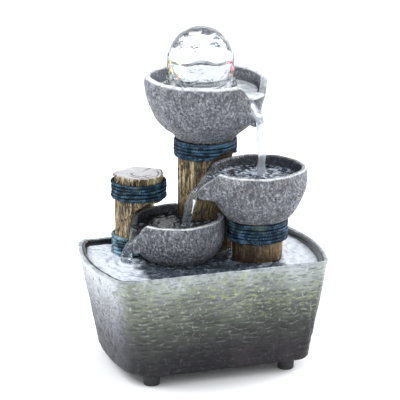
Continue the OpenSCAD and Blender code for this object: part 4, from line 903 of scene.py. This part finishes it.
M = {"basin": mat_basin(), "bowl_top": mat_bowl("m_bowl_top", 0.0, 1.0), "bowl_mid": mat_bowl("m_bowl_mid", 0.08, 0.92), "bowl_low": mat_bowl("m_bowl_low", 0.0, 0.90),
     "wood_tall": mat_wood("m_wood_tall", (0.92, 0.88, 0.74)), "wood_mid": mat_wood("m_wood_mid", (0.95, 0.80, 0.62), 0.5, (0.038, 0.052, (0.52, 0.36, 0.18))), "wood_short": mat_wood("m_wood_short", (0.98, 0.98, 0.92)),
     "rope": mat_rope(), "gloss": mat_plain("m_liner_gloss", (0.006, 0.006, 0.007), (0.016, 0.016, 0.018), (0.10, 0.22), 120, 0.10),
     "matte": mat_plain("m_black_matte", (0.012, 0.012, 0.013), (0.030, 0.030, 0.032), (0.45, 0.65), 260, 0.25),
     "rubber": mat_plain("m_rubber", (0.010, 0.010, 0.010), (0.026, 0.026, 0.027), (0.55, 0.75), 420, 0.35),
     "steel": mat_plain("m_steel", (0.52, 0.53, 0.55), (0.68, 0.69, 0.71), (0.22, 0.36), 700, 0.12, metal=1.0),
     "plastic": mat_plain("m_pump_plastic", (0.045, 0.048, 0.055), (0.075, 0.08, 0.088), (0.38, 0.52), 300, 0.2),
     "dial": mat_plain("m_dial", (0.42, 0.035, 0.03), (0.58, 0.06, 0.05), (0.35, 0.5), 300, 0.12),
     "rotor": mat_plain("m_rotor", (0.72, 0.73, 0.74), (0.84, 0.85, 0.86), (0.35, 0.5), 300, 0.12),
     "ferrite": mat_plain("m_ferrite", (0.030, 0.030, 0.033), (0.065, 0.065, 0.07), (0.45, 0.6), 500, 0.25),
     "ceramic": mat_plain("m_ceramic", (0.80, 0.80, 0.77), (0.90, 0.90, 0.87), (0.15, 0.25), 400, 0.05),
     "copper": mat_plain("m_copper", (0.50, 0.20, 0.08), (0.72, 0.34, 0.16), (0.25, 0.4), 900, 0.3, metal=1.0),
     "vinyl": mat_clear("m_vinyl", (0.90, 0.95, 0.95), 1.5, 0.12, 0.1), "acrylic": mat_clear("m_acrylic", (1.0, 1.0, 1.0), 1.35, 0.03, 0.06),
     "glass": mat_ball("m_ball_glass"),
     "water": mat_water("m_water"), "water_top": mat_water("m_water_top", (0.86, 0.92, 0.97), 0.70), "pool_low": mat_pool("m_low_water", (0.030, 0.034, 0.044), (0.60, 0.66, 0.74), 0.6, 0.54, 0.64, calm=0.45),
     "pool": mat_pool("m_pool_water", (0.045, 0.058, 0.085), (0.75, 0.84, 0.97), 0.55, 0.48, 0.58, calm=0.75), "pool_top": mat_pool("m_top_water", (0.42, 0.52, 0.60), (0.98, 0.99, 1.0), 0.45, 0.40, 0.60),
     "basin_water": mat_pool("m_basin_water", (0.055, 0.072, 0.100), (0.80, 0.85, 0.93), 0.40, 0.48, 0.68, 120, 0.75), "skirt": mat_skirt("m_skirt")}

def lens_material():
    m, nt, b = new_mat("m_led_lens"); k = N(nt)
    col = k.ramp(k.noise(95, 1, 0.4), [(0.34, (0.05, 0.75, 0.30)), (0.46, (0.95, 0.45, 0.08)), (0.56, (0.15, 0.30, 0.95)), (0.66, (0.95, 0.15, 0.55))], "EASE")
    k.link(col, b.inputs["Base Color"]); k.link(col, b.inputs["Emission Color"])
    b.inputs["Emission Strength"].default_value = 1.8; b.inputs["Roughness"].default_value = 0.2
    return m
M["lens"] = lens_material()

CAD_MATS = {"foot_front_left": "rubber", "foot_front_right": "rubber", "foot_rear_left": "rubber", "foot_rear_right": "rubber",
    "cord_grommet": "rubber", "deck_plate": "matte", "deck_legs": "matte", "post_screws": "steel", "low_bowl_pedestal": "matte", "riser_tube": "vinyl",
    "feed_nozzle": "acrylic", "nozzle_nut": "acrylic", "nozzle_seal": "rubber", "led_housing": "matte", "led_lens": "lens", "led_lead": "rubber",
    "ball_cup": "acrylic", "pump_housing": "plastic", "pump_volute": "plastic", "pump_strainer": "plastic", "pump_seal": "rubber", "outlet_adapter": "plastic",
    "flow_regulator": "dial", "suction_cups": "rubber", "impeller": "rotor", "impeller_magnet": "ferrite", "impeller_shaft": "ceramic",
    "shaft_bush_front": "rubber", "shaft_bush_rear": "rubber", "stator_core": "steel", "stator_coil": "copper", "motor_potting": "matte"}
for _n, _m in CAD_MATS.items():
    ob = frame["nodes"][_n]
    for i in range(max(1, len(ob.data.materials))):
        if i < len(ob.data.materials): ob.data.materials[i] = M[_m]
        else: ob.data.materials.append(M[_m])

build_basin()
build_liner()
for _k in ("top", "mid", "low"): build_bowl(_k, M["bowl_" + _k])
build_post("post_tall_log", "post_tall", TALL, 21.7, 21.7, 65.0, 170.0, M["wood_tall"], keys=("mid",), hole=(JET, [(170, 11.5), (160, 11.5), (145, 8.2), (65, 8.2)]), nth=320, seed=5, depth=1.25, soak=120.0)
build_post("post_mid_log", "post_mid", MID, 18.0, 20.6, 65.0, 114.0, M["wood_mid"], nth=260, seed=15, depth=1.1)
build_post("post_short_log", "post_short", SHORT, 18.7, 18.7, 65.0, 145.3, M["wood_short"], keys=("low",), rings=True, nth=280, seed=25, depth=1.3)
build_rope("rope_tall_cord", "rope_tall", TALL, 21.7, 156, 169.8, keys=("mid",), seed=1)
build_rope("rope_mid_cord", "rope_mid", MID, 20.6, 98, 113.8, seed=2)
build_rope("rope_short_upper_cord", "rope_short_upper", SHORT, 18.7, 126.5, 140.3, seed=3)
build_rope("rope_short_lower_cord", "rope_short_lower", SHORT, 18.7, 76, 98, keys=("low",), seed=4, pale=0.5)
build_ball(M["glass"])

# water: the basin's, the three pools', the falls between them, and the skirt that runs off the ball
_t = (WATER_Z - BASE_Z) / (RIM_Z - BASE_Z)
_rim = ring_xy(WATER_Z, WALL + 1.9, (104, 70, 12))
# the basin's water is pale as foam where the low fall lands and as painted reflection towards both ends
water_slab("water_basin", _rim, (-22, -24), WATER_Z, 3.0, M["basin_water"], "basin", rings=84, amp=0.8,
    posts=[(tuple(TALL), 22.2), (tuple(MID), 20.0), (tuple(SHORT), 21.9), (tuple(LOW), 24.5)],
    sources=[(-53.5, 3.5, 0.85, 7.0, 20.0), (60, 20, 0.45, 9.0, 30.0)], seed=5, rough=1.3,
    foam_and_painted_reflection=lambda v: np.clip(np.maximum(np.maximum(smooth(-46, -64, v[:, 0]), smooth(46, 60, v[:, 0])), 0.8 * smooth(16, 5, np.hypot(v[:, 0] + 56, v[:, 1] - 4))) + 0.5 * fbm(v / 8.0, 2, 91), 0, 1))
def pool(name, key, level, depth, inset, srcs, posts=(), rings=26, seed=3, mat="pool", amp=0.5, foam_and_painted_reflection=None):
    c = SPOUT[key][0]; th = np.linspace(0, 2 * np.pi, 180, endpoint=False); dr = math.radians(SPOUT[key][1])
    R = np.full(180, 5.0)
    for _ in range(180):   # out to the stone at the pool's level
        x = c[0] + (R + 0.25) * np.cos(th); y = c[1] + (R + 0.25) * np.sin(th)
        R = np.where(bowl_field(key, x, y, np.full(180, level - depth)) > inset, R + 0.25, R)
        R = np.minimum(R, PROF[key][0][-1][0] + 2)
    rim = np.stack([c[0] + R * np.cos(th), c[1] + R * np.sin(th)], 1)
    return water_slab(name, rim, tuple(c), level, depth, M[mat], "sculpture", sources=srcs, amp=amp, rings=rings, posts=posts, seed=seed, rough=1.3, foam_and_painted_reflection=foam_and_painted_reflection)
# the top pool is pale all over: foam from the jet and painted reflection
pool("water_top_pool", "top", 207.6, 1.6, 0.55, [(JET[0], JET[1], 0.4, 6.0, 30.0)], posts=[(tuple(JET), 19.6)], seed=4, mat="pool_top", foam_and_painted_reflection=lambda v: np.full(len(v), 0.6))
pool("water_mid_pool", "mid", 146.8, 1.6, 0.55, [(42.6, -7.3, 0.8, 5.5, 16.0)], seed=6, foam_and_painted_reflection=lambda v: 0.9 * smooth(8, 2.5, np.hypot(v[:, 0] - 42.6, v[:, 1] + 7.3)))
pool("water_low_pool", "low", 109.2, 1.6, 0.55, [(-12, 0.0, 0.8, 5.0, 14.0)], posts=[(tuple(TALL), 22.4)], seed=8, mat="pool_low", foam_and_painted_reflection=lambda v: 0.9 * smooth(7, 2.5, np.hypot(v[:, 0] + 12, v[:, 1])))

def at_spout(key, lx, ly, z):
    c = SPOUT[key][0]; dr = math.radians(SPOUT[key][1])
    return (c[0] + lx * math.cos(dr) - ly * math.sin(dr), c[1] + lx * math.sin(dr) + ly * math.cos(dr), z)
def facing(key):
    dr = math.radians(SPOUT[key][1]); return (math.cos(dr), math.sin(dr))
water_stream("water_fall_top", [at_spout("top", 34, 0, 207.4), at_spout("top", 39, 0, 201.5), at_spout("top", 43, 0, 195.8), at_spout("top", 46.5, 0, 190.6),
    at_spout("top", 48.6, 0, 184), at_spout("top", 49.0, 0, 172), at_spout("top", 49.1, 0, 158), at_spout("top", 49.1, 0, 147.4)],
    [17, 15, 13.0, 12.0, 11.5, 10.0, 8.0, 8.0], [2.2, 2.2, 2.6, 3.4, 4.2, 5.0, 5.2, 5.4], facing("top"), M["water_top"], "sculpture", 3)
water_stream("water_fall_mid", [at_spout("mid", 26, 0, 146.6), at_spout("mid", 33, 0, 143.6), at_spout("mid", 41, 0, 140.0), at_spout("mid", 46.5, 0, 137.2),
    at_spout("mid", 50.5, 0, 131.5), at_spout("mid", 53, 0, 123), at_spout("mid", 54.6, 0, 112.5), at_spout("mid", 54.9, 0, 110.2)],
    [15, 11, 8.5, 8.5, 8.5, 8.0, 8.0, 8.5], [1.6, 1.8, 3.0, 5.5, 7.5, 7.5, 6.5, 6.5], facing("mid"), M["water"], "sculpture", 7)
water_stream("water_fall_low", [at_spout("low", 22, 0, 109.0), at_spout("low", 28, 0, 105.0), at_spout("low", 34, 0, 99.8), at_spout("low", 38.3, 0, 96.0),
    at_spout("low", 40.6, 0, 91.5), at_spout("low", 41.4, 0, 86), at_spout("low", 41.6, 0, 83.9)],
    [13, 9.5, 8.0, 8.0, 8.5, 9.5, 11.5], [1.6, 1.8, 2.8, 5.0, 7.0, 8.0, 9.0], facing("low"), M["water"], "sculpture", 11, n=90)

def skirt_wob(v, t, r):
    k = smooth(24.5, 28.0, r); w = 0.5 * np.sin(9 * t + 1) + 0.35 * np.sin(17 * t + 2) + 0.3 * np.sin(5 * t)
    v = v.copy(); f = 1 + k * 0.018 * w + 0.0035 * np.sin(7 * t + v[:, 2] * 0.7) + 0.002 * np.sin(13 * t - v[:, 2] * 0.9); v[:, 0] = JET[0] + (v[:, 0] - JET[0]) * f; v[:, 1] = JET[1] + (v[:, 1] - JET[1]) * f
    v[:, 2] += smooth(228, 234, v[:, 2]) * (1.6 * np.sin(3 * t + 0.8) + 1.0 * np.sin(7 * t + 2.1) - 1.5)
    return v
_sk_o = [(23.2, 211.0), (26.3, 208.6), (28.6, 208.5), (28.2, 211.0), (27.2, 214.2), (26.4, 218.0), (25.95, 222.0), (25.75, 227.0), (25.6, 231.0), (25.38, 234.5)]
_sk_i = [(25.34, 234.2), (25.38, 231.0), (25.4, 227.0), (25.35, 222.0), (25.3, 218.5), (25.0, 215.5), (24.2, 213.0)]
o = lathe_piece("water_skirt", _sk_o[1:] + _sk_i[:-1] + [(24.6, 211.8)], JET, M["skirt"], 128, skirt_wob)
_c = np.empty(len(o.data.vertices) * 3); o.data.vertices.foreach_get("co", _c); _c = _c.reshape(-1, 3) * 1000 - OFF
_across = ((_c[:, 0] - JET[0]) * 0.9465 - (_c[:, 1] - JET[1]) * 0.3226) / 27.0
_near = -((_c[:, 0] - JET[0]) * 0.3226 + (_c[:, 1] - JET[1]) * 0.9465) / 27.0
_mid = smooth(219, 225, _c[:, 2])
# painted glints: where the skirt glows, in patches on its left and right at mid height
_painted_glint_left = smooth(-0.36, -0.50, _across) * smooth(-0.94, -0.86, _across) * smooth(-0.2, 0.2, _near) * _mid; _painted_glint_right = 0.7 * smooth(0.72, 0.84, _across) * smooth(-0.2, 0.2, _near) * _mid
for _nm, _val in (("painted_glint", np.clip(_painted_glint_left + _painted_glint_right, 0, 1)), ("side", (_across > 0).astype(float))):
    _at = o.data.attributes.new(_nm, "FLOAT", "POINT"); _at.data.foreach_set("value", np.asarray(_val, float))
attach(o, "cup")

# ------------------------------------------------------------------ studio
def floor():
    me = bpy.data.meshes.new("studio_floor"); s = 9.0
    me.from_pydata([(-s, -s, 0), (s, -s, 0), (s, s, 0), (-s, s, 0)], [], [(0, 1, 2, 3)])
    m, nt, b = new_mat("m_floor"); k = N(nt)
    k.link(k.ramp(k.noise(3, 3, 0.5), [(0.3, (0.93, 0.93, 0.93)), (0.7, (0.945, 0.945, 0.945))]), b.inputs["Base Color"]); b.inputs["Roughness"].default_value = 0.7
    b.inputs["Specular IOR Level"].default_value = 0.2
    me.materials.append(m); o = bpy.data.objects.new("studio_floor", me); bpy.context.scene.collection.objects.link(o)
floor()
sc = bpy.context.scene
w = bpy.data.worlds.new("studio"); sc.world = w; w.use_nodes = True
w.node_tree.nodes["Background"].inputs[0].default_value = (0.945, 0.972, 1.0, 1); w.node_tree.nodes["Background"].inputs[1].default_value = 1.08

def area(name, loc, target, size, power, col=(1, 1, 1)):
    d = bpy.data.lights.new(name, "AREA"); d.shape = "RECTANGLE"; d.size, d.size_y = size; d.energy = power; d.color = col
    o = bpy.data.objects.new(name, d); o.location = loc
    o.rotation_euler = (Vector(target) - Vector(loc)).to_track_quat("-Z", "Y").to_euler()
    sc.collection.objects.link(o); return o
area("key", (-0.95, 0.35, 1.15), (0, 0, 0.12), (0.8, 0.8), 14.5, (0.97, 0.985, 1.0))
area("rim", (1.15, 0.15, 0.80), (0, 0, 0.12), (0.6, 0.6), 17.0, (0.97, 0.985, 1.0))
area("front", (-0.75, -1.25, 0.95), (0, 0, 0.10), (1.2, 0.9), 1.5)

T = np.array([2.83, 12.25, 124.04]) + OFF
back = np.array([-0.3097, -0.9087, 0.2797]); back /= np.linalg.norm(back)
cam = bpy.data.cameras.new("cam"); cam.lens = 190.04; cam.sensor_width = 36.0; cam.clip_start = 0.05; cam.clip_end = 40
co = bpy.data.objects.new("cam", cam); co.location = Vector((T + back * 1622.7) * 0.001)
co.rotation_euler = Vector(-back).to_track_quat("-Z", "Y").to_euler()
sc.collection.objects.link(co); sc.camera = co
sc.view_settings.view_transform = "Standard"

bpy.context.view_layer.update()
lo = [1e9] * 3; hi = [-1e9] * 3
for ob in bpy.data.objects:
    if ob.type == "MESH" and ob.name != "studio_floor":
        co_ = np.empty(len(ob.data.vertices) * 3); ob.data.vertices.foreach_get("co", co_); co_ = co_.reshape(-1, 3)
        lo = [min(a, float(b)) for a, b in zip(lo, co_.min(0))]; hi = [max(a, float(b)) for a, b in zip(hi, co_.max(0))]
